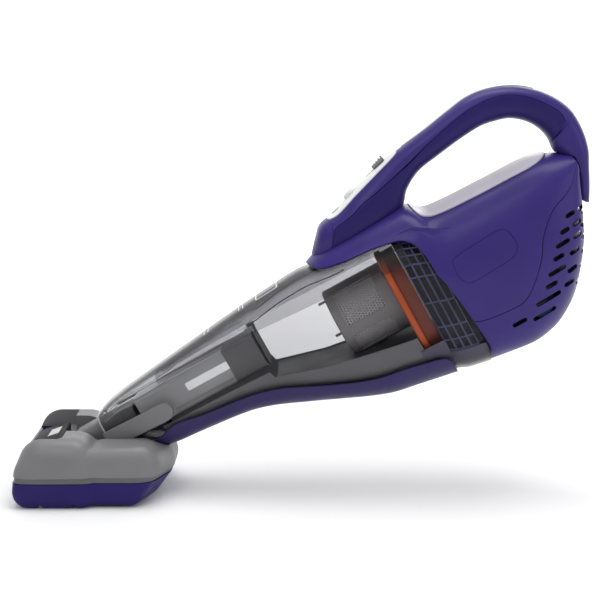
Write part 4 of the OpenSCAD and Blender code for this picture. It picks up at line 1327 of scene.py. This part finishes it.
def make_head_shells():
    """Both shells and the band between them, all out of one hollow form, and the dark floor of the bay."""
    lower = head_form(0)
    cut(lower, [nozzle_room(ROOM), brush_bay(0)])
    inner = head_form(HEAD_WALL)
    cut(inner, [nozzle_room(ROOM + HEAD_WALL), brush_bay(HEAD_WALL)])
    cut(lower, [twin(inner)])
    upper = twin(lower)
    cut(upper, [seam_side(4.6, -60), spout(0.15, -40, 10)])
    upper.name = "head_upper"
    place(upper, "pet_head", "mid_grey", ["head_top_shell"], 45)
    cut(lower, [seam_side(-0.25, 160), big_box((-41.3, -50.3, -1), (41.3, 50.3, 2.6))])
    cut(lower, [as_object("notch", rod(row(x, -70, -0.2), row(x, 70, -0.2), 3.2, 24)) for x in (-30, -3)])
    lower.name = "head_lower"
    place(lower, "pet_head", "purple_head", ["head_bottom_shell"], 45)
    band = head_form(0.9)
    cut(band, [nozzle_room(ROOM), brush_bay(0), inner, seam_side(0.1, -60), seam_side(4.5, 160)])
    band.name = "head_band"
    place(band, "pet_head", "band_grey", (), 45)
    liner = brush_bay(-0.1)
    cut(liner, [brush_bay(-1.1)])
    cut(liner, [head_form(0.6), big_box((-70, -60, 30), (0, 60, 39.5))], "INTERSECT")
    liner.name = "bay_liner"
    place(liner, "pet_head", "purple_head")


def make_spout():
    tube = spout(0, -24, 30)
    cut(tube, [spout(-2, -26, 32)])
    tube.name = "spout_tube"
    round_edges(tube, 1.5, 50, 4)
    place(tube, "pet_head", "collar_grey", ["head_spout"], 50)


def make_lid():
    """The brush cover, with the blank label on its slope."""
    low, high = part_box("brush_cover")
    outline = [(-45, 38.8), (-45, 41), (-37, 44), (-21, 49.5), (-18, 48), (-18, 39)]
    lid = solid("brush_lid", [[Vector((x * MM, y, z * MM)) for x, z in outline] for y in (low.y, high.y)])
    round_edges(lid, 1.2, 20, 3)
    place(lid, "pet_head", "lid_black", ["brush_cover"])
    low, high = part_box("label_plate")
    tilt = Matrix.Translation(row(-27, 0, 47.6)) @ Matrix.Rotation(math.radians(-18.9), 4, "Y")
    plate = as_object("blank_label", block((9.5, high.y / MM - low.y / MM, 0.9), tilt, 0.4, 3))
    place(plate, "pet_head", "label_grey", ["label_plate"])


# The brushroll in mm: half its bristled length, its core, the bristles' reach and their twist end to end.
BRUSH_HALF, CORE_R, FLANGE_R, STUB_R, STUB_END = 41, 10.6, 11.2, 3, 54
BRISTLE_LOW, BRISTLE_HIGH, BRISTLE_R = 18.2, 18.9, 0.62
TWIST = 110


def make_brush():
    axis = Vector(joints["brushroll_spin"]["pos_m"])
    rng = random.Random(4)
    tufts = []
    for strip in range(4):
        for y in steps(-BRUSH_HALF + 1, BRUSH_HALF - 1, 44):
            a = strip * math.pi / 2 + math.radians(TWIST) * y / (2 * BRUSH_HALF)
            root = Vector((math.cos(a), 0, math.sin(a))) * CORE_R * MM
            for k in range(2):
                lean = a + rng.uniform(-0.05, 0.05)
                out = Vector((math.cos(lean), 0, math.sin(lean)))
                shift = Vector((0, (y + k * 0.9) * MM, 0))
                tip = axis + out * rng.uniform(BRISTLE_LOW, BRISTLE_HIGH) * MM + shift
                tufts.append(rod(axis + root + shift, tip, BRISTLE_R, 6, 0.7))
    place(merged("bristle_tufts", tufts), "brushroll", "bristle", ["bristle_strips"], 60)
    turn = Matrix.Translation(axis) @ Matrix.Rotation(math.radians(90), 4, "X")
    half = [(STUB_R, STUB_END), (STUB_R, BRUSH_HALF + 2), (FLANGE_R, BRUSH_HALF + 2),
            (FLANGE_R, BRUSH_HALF + 0.5), (CORE_R, BRUSH_HALF)]
    profile = [(0, -STUB_END)] + [(r, -z) for r, z in half] + half[::-1] + [(0, STUB_END)]
    core = as_object("brush_core", turned(profile, turn, 64))
    place(core, "brushroll", "dark_grey", ["brushroll_core"])


# ---- The CAD nodes that show as they are ----

LOOKS = {
    "dark_grey": ["battery_holder", "slide_microswitch", "sole_plate", "brush_pulley"],
    "steel": ["motor_can", "motor_shaft", "flap_pin", "brush_bearings", "head_motor", "head_screws"],
    "rubber": ["motor_mount_ring", "supply_ribbon", "drive_belt"],
    "brass": ["contact_pins", "motor_pulley"],
    "duct_grey": ["fan_shroud"],
    "label_grey": ["fan_impeller"],
    "cell_wrap": ["battery_cells"],
    "board_green": ["circuit_board"],
    "wire": ["wire_harness"],
}


def dress_cad():
    for look, nodes in LOOKS.items():
        for node in nodes:
            data = frame["nodes"][node].data
            data.materials.clear()
            data.materials.append(finish[look])


for make in (
        make_camera, make_stage,
        make_halves, make_rear_cover, make_vent_lining, make_screws, make_jack,
        make_handle, make_handle_inserts, make_slide, make_button, make_lens, make_liner,
        make_clear_wall, make_keel, make_tray, make_bowl_mouth, make_roofs, make_beads, make_marks,
        make_intake, make_duct, make_duct_outlet, make_filter_ring, make_cage, make_filter_fill,
        make_head_shells, make_spout, make_saddle, make_lid, make_brush, dress_cad):
    make()
